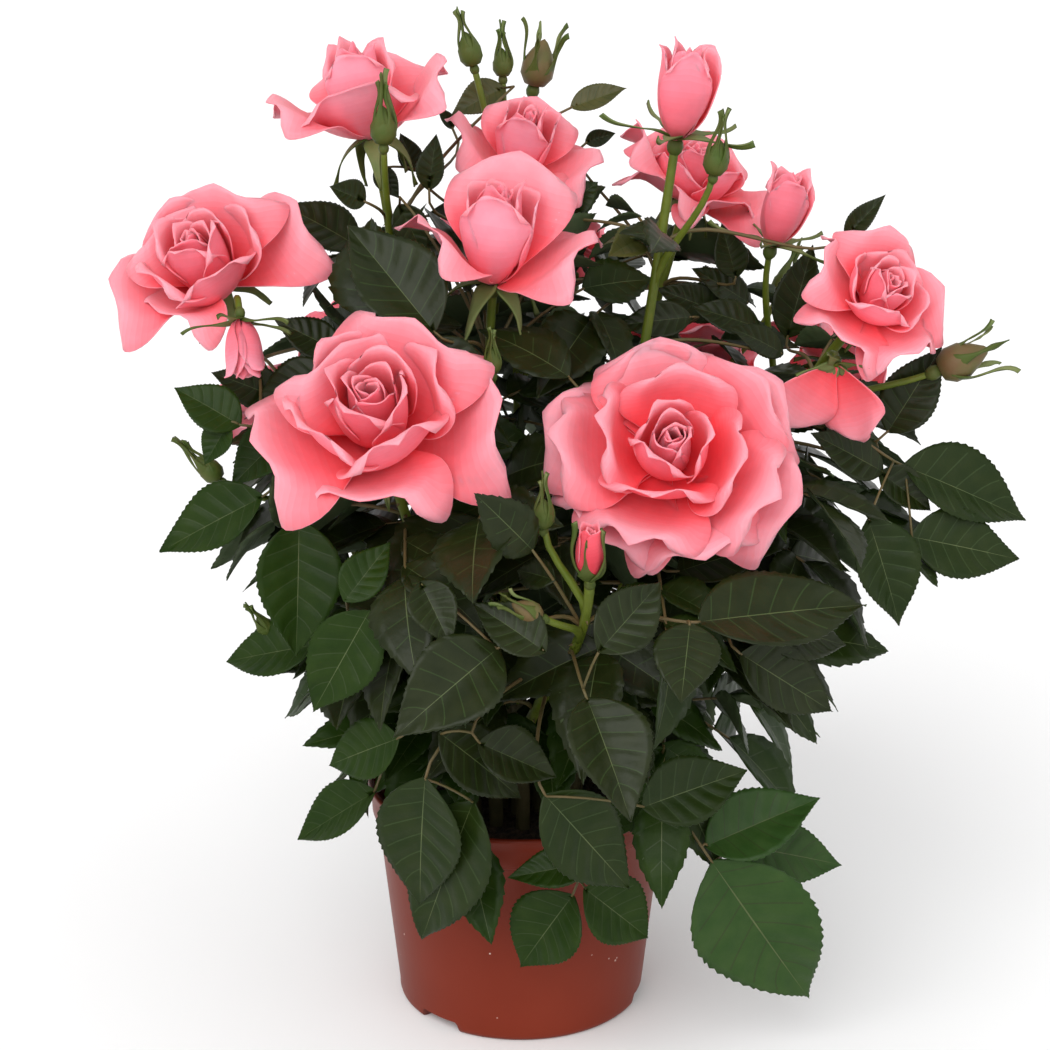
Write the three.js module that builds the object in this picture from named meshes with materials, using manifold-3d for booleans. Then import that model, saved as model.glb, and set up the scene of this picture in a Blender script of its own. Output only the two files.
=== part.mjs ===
// A potted rose bush: a plastic pot of peat, canes that rise from the peat, and on each cane one
// mass of foliage with its blooms and buds. Millimetres, +Z up. The origin is on the pot's axis, on
// the flat underside that the pot stands on. -Y is the front.
import * as THREE from "three";
import { mergeVertices } from "three/addons/utils/BufferGeometryUtils.js";
import Module from "manifold-3d";

const wasm = await Module();
wasm.setup();

// ---------------------------------------------------------------- driving dimensions
const POT = {
  height: 92,
  rimRadius: 60,
  rimHeight: 13,
  neckRadius: 56.5,
  footRadius: 48.5,
  footBevel: 3,
  wall: 1.6,
  floor: 7,
  sides: 36,
};
const NOTCH = { width: 19, height: 4.5, depth: 9, count: 3, firstAzimuth: 228 };
const SOIL = { top: 80, dome: 3, gap: 0.3 };
const CANE = {
  footRadius: 2.9,
  tipRadius: 2.3,
  sides: 6,
  rings: 3,
  lean: 0.5,
  planted: 5,
  holeSides: 8,
  gap: 0.3,
};
const STEM = { sides: 5, rings: 4, tipRadius: 1.5 };
const STALK = { sides: 3, rings: 3, baseRadius: 1.6, tipRadius: 1.3 };
const RACHIS = { sides: 3, rings: 2, baseRadius: 1.2, tipRadius: 0.9, share: 0.5 };
const LEAFLET = {
  thickness: 1.5,
  width: 0.62,
  widest: 0.4,
  sunk: 0.5,
  fold: 0.1,
  stagger: 0.02,
  pairs: [
    { at: 0.43, length: 0.46 },
    { at: 0.26, length: 0.38 },
  ],
};
const CLEAR = 0.35; // air kept between two masses, and between a leaf and any limb
const FINEST = 0.02; // where two pieces join, edges shorter than this are closed up
const SEED = 2;

// Outlines of the flowers, from the stalk to the centre: radius, height and depth of the five lobes,
// in units of the flower's radius (open, cup, half) or of its height (buds).
const FLOWERS = {
  open: {
    sides: 10,
    outline: [
      [0.14, 0, 0],
      [0.6, 0.16, 0.03],
      [1.0, 0.24, 0.06],
      [0.95, 0.34, 0.06],
      [0.6, 0.34, 0],
      [0.62, 0.52, -0.05],
      [0.36, 0.5, 0],
      [0.26, 0.68, 0.04],
    ],
    centre: 0.62,
  },
  cup: {
    sides: 10,
    outline: [
      [0.14, 0, 0],
      [0.6, 0.22, 0.03],
      [1.0, 0.32, 0.08],
      [0.94, 0.42, 0.08],
      [0.52, 0.4, 0],
      [0.54, 0.78, -0.05],
      [0.26, 0.96, 0.04],
    ],
    centre: 0.9,
  },
  half: {
    sides: 10,
    outline: [
      [0.16, 0, 0],
      [0.62, 0.44, 0.04],
      [1.0, 0.74, 0.1],
      [0.88, 0.84, 0.1],
      [0.48, 0.74, 0],
      [0.46, 1.22, -0.06],
    ],
    centre: 1.12,
  },
  pinkBud: {
    sides: 6,
    outline: [
      [0.1, 0, 0],
      [0.26, 0.2, 0],
      [0.29, 0.5, 0],
      [0.25, 0.98, 0],
    ],
    centre: 0.9,
  },
  greenBud: {
    sides: 5,
    outline: [
      [0.1, 0, 0],
      [0.26, 0.2, 0],
      [0.2, 0.42, 0],
      [0.06, 0.7, 0],
    ],
    centre: 1,
  },
};
// Each pink bud and each green bud with split sepals carries five of these.
const SEPAL = { length: 0.75, width: 0.16, thickness: 0.05, height: 0.08, spread: 0.9 };

// Canes rise from two rings in the peat: azimuth in degrees (0 to the right, 270 to the front), and
// the height where the cane ends and its foliage starts. `stalk` ends at `flower.at`, under the
// flower, and points the way the flower faces. `side` stalks leave it at a share of its length.
const RING = { outer: 29, inner: 11, foot: 0.72 };
const SHOOTS = [
  {
    name: "front_left", ring: "outer", azimuth: 243, fork: 118,
    flower: { kind: "cup", size: 45, at: [-49, -68, 253], faces: [-0.1, -0.62, 0.78] },
    side: [],
  },
  {
    name: "front", ring: "outer", azimuth: 272, fork: 112,
    flower: { kind: "pinkBud", size: 25, at: [24, -104, 213], faces: [0, -0.25, 0.97] },
    side: [
      { from: 0.86, flower: { kind: "greenBud", size: 19, at: [8, -97, 230], faces: [0, -0.15, 1] } },
      { from: 0.74, flower: { kind: "greenBud", size: 20, at: [7, -97, 193], faces: [-0.8, -0.2, 0.5] } },
    ],
  },
  {
    name: "front_right", ring: "outer", azimuth: 301, fork: 118,
    flower: { kind: "open", size: 47, at: [53, -61, 241], faces: [0.02, -0.72, 0.69] },
    side: [],
  },
  {
    name: "low_right", ring: "outer", azimuth: 326, fork: 104,
    flower: { kind: "greenBud", size: 16, at: [98, -58, 178], faces: [0.6, -0.3, 0.7] },
    side: [],
  },
  {
    name: "right", ring: "outer", azimuth: 350, fork: 116,
    flower: { kind: "cup", size: 27, at: [127, -12, 284], faces: [0.42, -0.55, 0.72] },
    side: [
      { from: 0.8, flower: { kind: "half", size: 17, at: [115, -26, 268], faces: [-0.1, -0.75, -0.5] } },
      { from: 0.66, flower: { kind: "greenBud", size: 34, at: [155, -6, 259], faces: [0.9, 0, 0.42] } },
    ],
  },
  {
    name: "back_right", ring: "outer", azimuth: 22, fork: 116,
    flower: { kind: "cup", size: 29, at: [124, 60, 248], faces: [0.7, 0.4, 0.55] },
    side: [
      { from: 0.72, flower: { kind: "pinkBud", size: 32, at: [97, 21, 300], faces: [0.25, -0.05, 0.97] } },
    ],
  },
  {
    name: "far_back_right", ring: "outer", azimuth: 56, fork: 116,
    flower: { kind: "open", size: 38, at: [66, 102, 240], faces: [0.35, 0.7, 0.6] },
    side: [
      { from: 0.66, flower: { kind: "greenBud", size: 22, at: [104, 100, 258], faces: [0.4, 0.3, 0.9] } },
    ],
  },
  {
    name: "back", ring: "outer", azimuth: 90, fork: 116,
    flower: { kind: "cup", size: 33, at: [0, 104, 286], faces: [0.05, 0.55, 0.83] },
    side: [
      { from: 0.62, flower: { kind: "pinkBud", size: 27, at: [22, 126, 256], faces: [0.2, 0.5, 0.8] } },
    ],
  },
  {
    name: "far_back_left", ring: "outer", azimuth: 126, fork: 116,
    flower: { kind: "cup", size: 37, at: [-72, 88, 246], faces: [-0.45, 0.65, 0.6] },
    side: [
      { from: 0.62, flower: { kind: "greenBud", size: 22, at: [-44, 116, 246], faces: [-0.1, 0.5, 0.85] } },
    ],
  },
  {
    name: "back_left", ring: "outer", azimuth: 158, fork: 110,
    flower: { kind: "half", size: 26, at: [-102, 62, 220], faces: [-0.7, 0.35, 0.6] },
    side: [
      { from: 0.6, flower: { kind: "greenBud", size: 22, at: [-118, 40, 200], faces: [-0.7, 0.1, 0.7] } },
    ],
  },
  {
    name: "left", ring: "outer", azimuth: 188, fork: 116,
    flower: { kind: "cup", size: 38, at: [-112, 2, 289], faces: [-0.3, -0.5, 0.81] },
    side: [
      { from: 0.84, flower: { kind: "pinkBud", size: 24, at: [-101, -31, 287], faces: [0.1, -0.45, -0.88] } },
    ],
  },
  {
    name: "low_left", ring: "outer", azimuth: 215, fork: 104,
    flower: { kind: "greenBud", size: 16, at: [-92, -46, 170], faces: [-0.5, -0.3, 0.8] },
    side: [],
  },
  {
    name: "centre", ring: "inner", azimuth: 262, fork: 128,
    flower: { kind: "half", size: 35, at: [-10, -14, 294], faces: [0.1, -0.2, 0.97] },
    side: [
      { from: 0.78, flower: { kind: "greenBud", size: 16, at: [-10, -52, 272], faces: [0, -0.1, 1] } },
    ],
  },
  {
    name: "upper_right", ring: "inner", azimuth: 334, fork: 128,
    flower: { kind: "pinkBud", size: 43, at: [56, 10, 334], faces: [0.14, 0, 0.99] },
    side: [
      { from: 0.74, flower: { kind: "greenBud", size: 26, at: [70, -6, 332], faces: [0.15, -0.1, 1] } },
    ],
  },
  {
    name: "upper_back_right", ring: "inner", azimuth: 46, fork: 128,
    flower: { kind: "half", size: 31, at: [64, 56, 308], faces: [0.22, 0.1, 0.97] },
    side: [],
  },
  {
    name: "upper_back", ring: "inner", azimuth: 118, fork: 128,
    flower: { kind: "half", size: 28, at: [-2, 50, 318], faces: [0.2, -0.3, 0.93] },
    side: [
      { from: 0.8, flower: { kind: "greenBud", size: 27, at: [-18, 64, 358], faces: [-0.25, 0, 0.97] } },
      { from: 0.76, flower: { kind: "greenBud", size: 22, at: [-7, 78, 350], faces: [-0.03, 0, 1] } },
      { from: 0.72, flower: { kind: "greenBud", size: 32, at: [5, 84, 347], faces: [0.22, 0, 0.97] } },
    ],
  },
  {
    name: "upper_left", ring: "inner", azimuth: 190, fork: 128,
    flower: { kind: "half", size: 32, at: [-55, 30, 338], faces: [-0.2, -0.05, 0.98] },
    side: [
      { from: 0.74, flower: { kind: "greenBud", size: 26, at: [-50, 4, 342], faces: [0, 0, 1] } },
    ],
  },
];

// Leaves reach for points spread over the crown's outline. A tier is a height with its radius, its
// number of leaves, a leaf's length, how far above the point the leaf's stalk leaves its stem, and
// how many pairs of side leaflets it has.
const TIERS = [
  { height: 60, radius: 90, leaves: 7, length: 88, above: 62, pairs: 1 },
  { height: 93, radius: 104, leaves: 9, length: 92, above: 52, pairs: 1 },
  { height: 128, radius: 114, leaves: 10, length: 96, above: 40, pairs: 1 },
  { height: 160, radius: 128, leaves: 11, length: 98, above: 28, pairs: 1 },
  { height: 192, radius: 150, leaves: 11, length: 100, above: 20, pairs: 1 },
  { height: 224, radius: 144, leaves: 10, length: 92, above: 12, pairs: 1 },
  { height: 258, radius: 126, leaves: 9, length: 80, above: 6, pairs: 1 },
  { height: 288, radius: 106, leaves: 8, length: 70, above: 0, pairs: 1 },
  { height: 318, radius: 72, leaves: 7, length: 60, above: -6, pairs: 1 },
];
// The crown leans to the right, and bulges less at the back.
const LEAN = { right: 0.15, back: -0.04 };
const JITTER = { azimuth: 9, height: 7 };
// A leaf may start at nine places on a stem. It prefers one from which it has its proper length and
// droop, that gains ground outwards, and that no other leaf has taken, on a stem with few leaves.
const START = { places: 9, step: 0.09, level: 0.5, gain: 30, crowd: 14, load: 4, tries: 6 };

// Leaves that stand out from the crown by themselves: the shoot and the point that the tip reaches.
const STRAYS = [
  { shoot: "low_right", from: 0.3, tip: [112, -66, 24] },
  { shoot: "low_right", from: 0.62, tip: [122, -50, 82] },
  { shoot: "low_right", from: 0.75, tip: [154, -38, 170] },
  { shoot: "right", from: 0.56, tip: [188, -12, 196] },
  { shoot: "right", from: 0.62, tip: [150, 8, 232] },
  { shoot: "low_left", from: 0.66, tip: [-140, -22, 192] },
  { shoot: "low_left", from: 0.4, tip: [-112, -34, 148] },
  { shoot: "left", from: 0.4, tip: [-94, -44, 128] },
  { shoot: "front_left", from: 0.22, tip: [-40, -96, 60] },
  { shoot: "front_right", from: 0.2, tip: [24, -98, 62] },
];

// ---------------------------------------------------------------- small helpers
const vec = (x, y, z) => new THREE.Vector3(x, y, z);
const UP = vec(0, 0, 1);
const radians = THREE.MathUtils.degToRad;
const lerp = THREE.MathUtils.lerp;

// The same random numbers every time (mulberry32), each from 0 to 1.
function randomFrom(seed) {
  let state = seed >>> 0;
  return () => {
    state = (state + 0x6d2b79f5) >>> 0;
    let t = state;
    t = Math.imul(t ^ (t >>> 15), t | 1);
    t ^= t + Math.imul(t ^ (t >>> 7), t | 61);
    return ((t ^ (t >>> 14)) >>> 0) / 4294967296;
  };
}

function solidOf(geometry) {
  const bare = geometry.clone();
  bare.deleteAttribute("normal");
  bare.deleteAttribute("uv");
  const merged = mergeVertices(bare, 1e-3);
  return new wasm.Manifold(
    new wasm.Mesh({
      numProp: 3,
      vertProperties: new Float32Array(merged.attributes.position.array),
      triVerts: new Uint32Array(merged.index.array),
    }),
  );
}

function geometryOf(solid) {
  const mesh = solid.getMesh();
  return new THREE.BufferGeometry()
    .setAttribute("position", new THREE.BufferAttribute(new Float32Array(mesh.vertProperties), 3))
    .setIndex(new THREE.BufferAttribute(new Uint32Array(mesh.triVerts), 1));
}

// One solid from many that touch, with any sealed hollow filled and any loose scrap dropped.
function fused(solids) {
  const whole = solids.reduce((sum, next) => sum.add(next)).simplify(FINEST);
  return whole.decompose().reduce((best, next) => (next.volume() > best.volume() ? next : best));
}

function meets(a, b) {
  const p = a.boundingBox();
  const q = b.boundingBox();
  const apart = [0, 1, 2].some((i) => p.min[i] > q.max[i] + CLEAR || q.min[i] > p.max[i] + CLEAR);
  return !apart && a.minGap(b, CLEAR * 2) < CLEAR;
}

// A round limb that tapers evenly along a curve, with flat ends.
function limb(curve, baseRadius, tipRadius, sides, rings) {
  const geometry = new THREE.CylinderGeometry(1, 1, 1, sides, rings);
  const frames = curve.computeFrenetFrames(rings);
  const place = geometry.attributes.position;
  for (let i = 0; i < place.count; i++) {
    const ring = Math.round((place.getY(i) + 0.5) * rings);
    const t = ring / rings;
    const radius = lerp(baseRadius, tipRadius, t);
    const point = curve
      .getPointAt(t)
      .addScaledVector(frames.binormals[ring], place.getX(i) * radius)
      .addScaledVector(frames.normals[ring], place.getZ(i) * radius);
    place.setXYZ(i, point.x, point.y, point.z);
  }
  return solidOf(geometry);
}

// A blade of eight faces from `base` to `tip`: pointed ends, a wide place and a low midrib.
function blade(base, tip, facing, width, thickness, widest, fold) {
  const along = tip.clone().sub(base);
  const length = along.length();
  const side = facing.clone().cross(along).normalize();
  const out = along.clone().cross(side).normalize();
  const geometry = new THREE.OctahedronGeometry(1, 0);
  const place = geometry.attributes.position;
  for (let i = 0; i < place.count; i++) {
    const [x, y, z] = [place.getX(i), place.getY(i), place.getZ(i)];
    const t = Math.abs(x) > 0.5 ? (x + 1) / 2 : widest;
    const point = base
      .clone()
      .addScaledVector(along, t)
      .addScaledVector(side, (y * width) / 2)
      .addScaledVector(out, (z * thickness) / 2 + Math.abs(y) * fold * length);
    place.setXYZ(i, point.x, point.y, point.z);
  }
  return solidOf(geometry);
}

// ---------------------------------------------------------------- pot and peat
function lathe(profile, sides) {
  const points = profile.map(([r, z]) => new THREE.Vector2(r, z));
  return new THREE.LatheGeometry(points, sides).rotateX(Math.PI / 2);
}

function potSolid() {
  const { height, rimRadius, rimHeight, neckRadius, footRadius, footBevel, wall, floor } = POT;
  const lip = height - rimHeight;
  const shell = solidOf(
    lathe(
      [
        [0, 0],
        [footRadius - footBevel, 0],
        [footRadius, footBevel],
        [neckRadius, lip],
        [rimRadius - wall, lip],
        [rimRadius, height],
        [rimRadius - wall * 2, height],
        [rimRadius - wall * 2.6, lip + wall],
        [neckRadius - wall, lip - wall],
        [footRadius - wall, floor],
        [0, floor],
      ],
      POT.sides,
    ),
  );
  const notches = Array.from({ length: NOTCH.count }, (_, i) => {
    const azimuth = radians(NOTCH.firstAzimuth + (360 / NOTCH.count) * i);
    return solidOf(
      new THREE.BoxGeometry(NOTCH.depth * 2, NOTCH.width, NOTCH.height * 2)
        .translate(footRadius, 0, 0)
        .rotateZ(azimuth),
    );
  });
  return notches.reduce((pot, notch) => pot.subtract(notch), shell);
}

function wallRadiusAt(z) {
  const share = (z - POT.floor) / (POT.height - POT.rimHeight - POT.wall - POT.floor);
  return lerp(POT.footRadius, POT.neckRadius, share) - POT.wall - SOIL.gap;
}

// The peat fills the pot to just under its rim, and closes round the foot of every cane.
function soilSolid() {
  const low = POT.floor + SOIL.gap;
  const peat = solidOf(
    lathe(
      [
        [0, low],
        [wallRadiusAt(low), low],
        [wallRadiusAt(SOIL.top - SOIL.dome) - 1, SOIL.top - SOIL.dome],
        [RING.outer + 6, SOIL.top],
        [0, SOIL.top],
      ],
      POT.sides / 2,
    ),
  );
  const radius = CANE.footRadius + CANE.gap * 3;
  return SHOOTS.reduce((rest, shoot) => {
    const foot = footOf(shoot);
    const hole = new THREE.CylinderGeometry(radius, radius, CANE.planted * 2, CANE.holeSides)
      .rotateX(Math.PI / 2)
      .translate(foot.x, foot.y, SOIL.top);
    return rest.subtract(solidOf(hole));
  }, peat);
}

// ---------------------------------------------------------------- canes
function forkOf(shoot) {
  const a = radians(shoot.azimuth);
  return vec(Math.cos(a), Math.sin(a), 0).multiplyScalar(RING[shoot.ring]).setZ(shoot.fork);
}

function footOf(shoot) {
  return forkOf(shoot)
    .multiplyScalar(RING.foot)
    .setZ(SOIL.top - CANE.planted + CANE.gap);
}

// A cane leaves the peat upright and leans out more and more towards its tip.
function caneCurve(shoot) {
  const tip = forkOf(shoot);
  const foot = footOf(shoot);
  const rise = (tip.z - foot.z) / 3;
  const lean = tip.clone().setZ(0).normalize().multiplyScalar(rise * CANE.lean).setZ(rise);
  return new THREE.CubicBezierCurve3(foot, foot.clone().setZ(foot.z + rise), tip.clone().sub(lean), tip);
}

function caneSolid(shoot) {
  return limb(caneCurve(shoot), CANE.footRadius, CANE.tipRadius, CANE.sides, CANE.rings);
}

// ---------------------------------------------------------------- flowers and stalks
function flowerSolids({ kind, size, at, faces }) {
  const { sides, outline, centre } = FLOWERS[kind];
  const profile = [[0, 0], ...outline, [0, centre]];
  const geometry = new THREE.LatheGeometry(
    profile.map(([r, z]) => new THREE.Vector2(r, z)),
    sides,
  );
  const place = geometry.attributes.position;
  for (let i = 0; i < place.count; i++) {
    const lobe = profile[i % profile.length][2] ?? 0;
    const turn = Math.atan2(place.getX(i), place.getZ(i));
    const swell = 1 + lobe * Math.cos(5 * turn);
    place.setXYZ(i, place.getX(i) * swell, place.getY(i), place.getZ(i) * swell);
  }
  const facing = vec(...faces).normalize();
  const turn = new THREE.Quaternion().setFromUnitVectors(vec(0, 1, 0), facing);
  const base = vec(...at);
  geometry.scale(size, size, size).applyQuaternion(turn).translate(base.x, base.y, base.z);
  const parts = [solidOf(geometry)];
  if (kind === "pinkBud") {
    for (let i = 0; i < 5; i++) {
      const a = (i / 5) * 2 * Math.PI;
      const out = vec(Math.cos(a), 0, Math.sin(a)).applyQuaternion(turn);
      const root = base.clone().addScaledVector(facing, SEPAL.height * size);
      const tip = root
        .clone()
        .addScaledVector(out, SEPAL.length * size * SEPAL.spread)
        .addScaledVector(facing, SEPAL.length * size * (1 - SEPAL.spread));
      parts.push(
        blade(root, tip, facing, SEPAL.width * size, SEPAL.thickness * size, 0.3, 0),
      );
    }
  }
  return parts;
}

function stalkCurve(start, heading, flower) {
  const end = vec(...flower.at);
  const facing = vec(...flower.faces).normalize();
  const reach = start.distanceTo(end) / 3;
  const before = end.clone().addScaledVector(facing, -reach);
  const into = end.clone().addScaledVector(facing, flower.size * 0.05);
  return new THREE.CubicBezierCurve3(start, start.clone().addScaledVector(heading, reach), before, into);
}

// The stem of a shoot starts just clear of its cane's flat tip and carries on the cane's line.
function stemCurve(shoot) {
  const cane = caneCurve(shoot);
  const heading = cane.getTangentAt(1);
  const start = cane.getPointAt(1).addScaledVector(heading, CANE.gap);
  return stalkCurve(start, heading, shoot.flower);
}

function sideCurve(shoot, side) {
  const stem = stemCurve(shoot);
  return stalkCurve(stem.getPointAt(side.from), stem.getTangentAt(side.from), side.flower);
}

// ---------------------------------------------------------------- leaves
// A compound leaf: a stalk that arches from the stem, side leaflets in pairs, and one at its tip.
function leafSolids(start, tip, spread) {
  const reach = start.distanceTo(tip);
  const middle = start.clone().lerp(tip, 0.5).addScaledVector(UP, reach * spread.lift);
  const arch = new THREE.QuadraticBezierCurve3(start, middle, tip);
  const stalk = new THREE.CatmullRomCurve3(
    [0, 0.33, 0.66, 1].map((t) => arch.getPoint(t * RACHIS.share)),
  );
  const outward = vec(tip.x, tip.y, 0).normalize();
  const facing = UP.clone().multiplyScalar(0.5).addScaledVector(outward, 0.6);
  const leaflet = (from, heading, length) => {
    const base = from.clone().addScaledVector(heading, -LEAFLET.sunk);
    const end = from.clone().addScaledVector(heading, length);
    const { width, thickness, widest, fold } = LEAFLET;
    return blade(base, end, facing, width * length, thickness, widest, fold);
  };
  const stalkSolid = limb(stalk, RACHIS.baseRadius, RACHIS.tipRadius, RACHIS.sides, RACHIS.rings);
  const last = arch.getPoint(RACHIS.share);
  const heading = tip.clone().sub(last).normalize();
  const leaflets = [leaflet(last, heading, last.distanceTo(tip))];
  for (const pair of LEAFLET.pairs.slice(0, spread.pairs)) {
    for (const hand of [-1, 1]) {
      const from = arch.getPoint(pair.at + hand * LEAFLET.stagger);
      const along = arch.getTangent(pair.at);
      const across = along.clone().cross(UP).normalize();
      const way = along
        .clone()
        .multiplyScalar(spread.forward)
        .addScaledVector(across, hand)
        .addScaledVector(UP, -spread.droop)
        .normalize();
      leaflets.push(leaflet(from, way, reach * pair.length));
    }
  }
  return { stalkSolid, leaflets };
}

// Where a leaf may start so that it reaches `tip` at about its own length: the best place on each
// stem, the best stem first.
function startsFor(tip, tier, masses) {
  const outward = vec(tip.x, tip.y, 0).normalize();
  const bestOn = (mass) => {
    const places = Array.from({ length: START.places }, (_, i) => {
      const share = (i + 1) * START.step;
      const point = mass.stem.getPointAt(share);
      const gain = tip.clone().sub(point).dot(outward);
      const crowd = mass.used.filter((t) => Math.abs(t - share) < START.step).length;
      const cost =
        Math.abs(point.distanceTo(tip) - tier.length) +
        START.level * Math.abs(point.z - tip.z - tier.above) +
        Math.max(0, START.gain - gain) +
        START.crowd * crowd +
        START.load * mass.used.length;
      return { mass, share, cost };
    });
    return places.reduce((best, next) => (next.cost < best.cost ? next : best));
  };
  return masses.map(bestOn).sort((a, b) => a.cost - b.cost);
}

function leafTargets() {
  const random = randomFrom(SEED);
  const targets = [];
  TIERS.forEach((tier, level) => {
    for (let i = 0; i < tier.leaves; i++) {
      const even = (360 / tier.leaves) * (i + 0.5 * (level % 2)) + 20 * level;
      const azimuth = radians(even + JITTER.azimuth * (2 * random() - 1));
      const lean = 1 + LEAN.right * Math.cos(azimuth) + LEAN.back * Math.sin(azimuth);
      const radius = tier.radius * lean * (0.94 + 0.12 * random());
      const height = tier.height + JITTER.height * (2 * random() - 1);
      const tip = vec(Math.cos(azimuth) * radius, Math.sin(azimuth) * radius, height);
      const spread = {
        lift: 0.16 + 0.1 * random(),
        forward: 0.45 + 0.3 * random(),
        droop: 0.1 + 0.25 * random(),
        pairs: tier.pairs,
      };
      targets.push({ tip, tier, spread });
    }
  });
  return targets;
}

// ---------------------------------------------------------------- the whole plant
const material = (color, roughness) =>
  new THREE.MeshStandardMaterial({ color, roughness, metalness: 0 });
const LOOKS = {
  pot: material(0x72291c, 0.45),
  soil: material(0x2b1d14, 0.95),
  cane: material(0x4f5a22, 0.6),
  foliage: material(0x2f3f20, 0.45),
};

const bush = new THREE.Group();
const addNode = (name, solid, look) => {
  const mesh = new THREE.Mesh(geometryOf(solid), LOOKS[look]);
  mesh.name = name;
  bush.add(mesh);
};

const pot = potSolid();
const soil = soilSolid();
addNode("pot", pot, "pot");
addNode("soil", soil, "soil");

const canes = SHOOTS.map(caneSolid);
SHOOTS.forEach((shoot, i) => addNode(`cane_${shoot.name}`, canes[i], "cane"));

// First every stem, stalk and flower, then the leaves, which give way to them.
const masses = SHOOTS.map((shoot) => {
  const stem = stemCurve(shoot);
  const frame = [limb(stem, CANE.tipRadius, STEM.tipRadius, STEM.sides, STEM.rings)];
  const flowers = flowerSolids(shoot.flower);
  for (const side of shoot.side) {
    const { sides, rings, baseRadius, tipRadius } = STALK;
    frame.push(limb(sideCurve(shoot, side), baseRadius, tipRadius, sides, rings));
    flowers.push(...flowerSolids(side.flower));
  }
  return { name: shoot.name, stem, frame, flowers, leaves: [], used: [] };
});

function clearOfOthers(solid, mass) {
  const inTheWay = [
    pot,
    soil,
    ...canes,
    ...mass.flowers,
    ...masses.filter((m) => m !== mass).flatMap((m) => [...m.frame, ...m.flowers, ...m.leaves]),
  ];
  return !inTheWay.some((other) => meets(solid, other));
}

// Grows a leaf, without the side leaflets that would touch something. One whose stalk or end leaflet
// would touch isn't grown at all.
function grow(mass, share, tip, spread) {
  const { stalkSolid, leaflets } = leafSolids(mass.stem.getPointAt(share), tip, spread);
  if (!clearOfOthers(stalkSolid, mass) || !clearOfOthers(leaflets[0], mass)) return false;
  const kept = leaflets.filter((leaflet) => clearOfOthers(leaflet, mass));
  mass.leaves.push(stalkSolid, ...kept);
  mass.used.push(share);
  return true;
}

for (const { shoot, from, tip } of STRAYS)
  grow(
    masses.find((m) => m.name === shoot),
    from,
    vec(...tip),
    { lift: 0.14, forward: 0.55, droop: 0.2, pairs: 2 },
  );
for (const { tip, tier, spread } of leafTargets())
  startsFor(tip, tier, masses)
    .slice(0, START.tries)
    .some(({ mass, share }) => grow(mass, share, tip, spread));

for (const mass of masses)
  addNode(`foliage_${mass.name}`, fused([...mass.frame, ...mass.flowers, ...mass.leaves]), "foliage");

export default bush;
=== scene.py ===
"""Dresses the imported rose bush: petals, buds, leaves, stems, pot and peat around the CAD frame.

Lengths in the tables and in the shape functions are millimetres, because the plant's plan is drawn in
them. Piece.build() turns them into metres. -Y is the front, +Z is up, and the origin is the middle of
the pot's underside.
"""

import math
from functools import lru_cache

import bpy
import numpy as np
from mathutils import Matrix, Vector


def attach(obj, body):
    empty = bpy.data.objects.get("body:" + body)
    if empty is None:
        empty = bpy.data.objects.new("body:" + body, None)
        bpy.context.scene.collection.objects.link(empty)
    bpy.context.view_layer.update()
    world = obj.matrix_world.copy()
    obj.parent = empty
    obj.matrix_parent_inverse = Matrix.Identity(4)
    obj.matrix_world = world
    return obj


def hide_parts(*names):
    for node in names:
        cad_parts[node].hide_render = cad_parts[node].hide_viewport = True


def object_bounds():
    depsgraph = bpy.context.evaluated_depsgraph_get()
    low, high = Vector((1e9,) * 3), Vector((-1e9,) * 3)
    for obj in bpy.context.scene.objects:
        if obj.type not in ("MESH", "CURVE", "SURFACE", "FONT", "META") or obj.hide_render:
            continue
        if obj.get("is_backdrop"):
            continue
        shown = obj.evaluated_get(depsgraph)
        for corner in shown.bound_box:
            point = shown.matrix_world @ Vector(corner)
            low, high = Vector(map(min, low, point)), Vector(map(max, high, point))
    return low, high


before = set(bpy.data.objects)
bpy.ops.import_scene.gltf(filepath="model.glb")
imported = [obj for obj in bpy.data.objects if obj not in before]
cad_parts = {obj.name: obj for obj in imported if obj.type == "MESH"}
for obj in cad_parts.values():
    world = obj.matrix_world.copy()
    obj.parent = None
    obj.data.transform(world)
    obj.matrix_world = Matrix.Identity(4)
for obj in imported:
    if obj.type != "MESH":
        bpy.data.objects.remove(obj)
cad_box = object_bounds()

MM = 0.001
UP = np.array((0.0, 0.0, 1.0))
RIGHT = np.array((1.0, 0.0, 0.0))
VIEW_AXIS = np.array((0.0, -0.94, 0.34))  # from the plant towards the camera
TINY = 1e-9

# ------------------ the plant's plan
# The frame's plan: where canes stand, how high they fork, and where each flower sits. Some flowers
# sit a little off their place in the frame.
RING = {"outer": 29.0, "inner": 11.0}
RING_FOOT = 0.72
SOIL_TOP = 80.0
# Radii of canes, stems and flower stalks at their ends, how far a cane leans out and is planted.
CANE = {"foot": 2.9, "tip": 2.3, "lean": 0.5, "planted": 4.7}
STEM_TIP = 1.7
STALK = (1.5, 1.2)
INTO_FLOWER = 0.04
POT = {
    "height": 92,
    "rim": 60,
    "rim_height": 13,
    "neck": 56.5,
    "foot": 48.5,
    "wall": 1.6,
    "floor": 7,
    "foot_bevel": 2.6,
    "rim_rounding": 1.2,
}
NOTCH = {"width": 19, "height": 4.5, "inner": 39.5, "azimuths": (228, 348, 108)}


def flower(kind, size, at, faces, spin=0.0, outer=()):
    """A flower: kind, radius (height for a bud), place of its base, the way it faces. `outer` lists
    petals one by one: direction in degrees (0 right, 90 up and back), opening and length."""
    at, faces = np.array(at, float), np.array(faces, float)
    facing = faces / np.linalg.norm(faces)
    return {"kind": kind, "size": size, "at": at, "facing": facing, "spin": spin, "outer": outer}


def shoot(name, ring, azimuth, fork, end, *side):
    return {"name": name, "ring": ring, "azimuth": azimuth, "fork": fork, "flower": end, "side": side}


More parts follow.
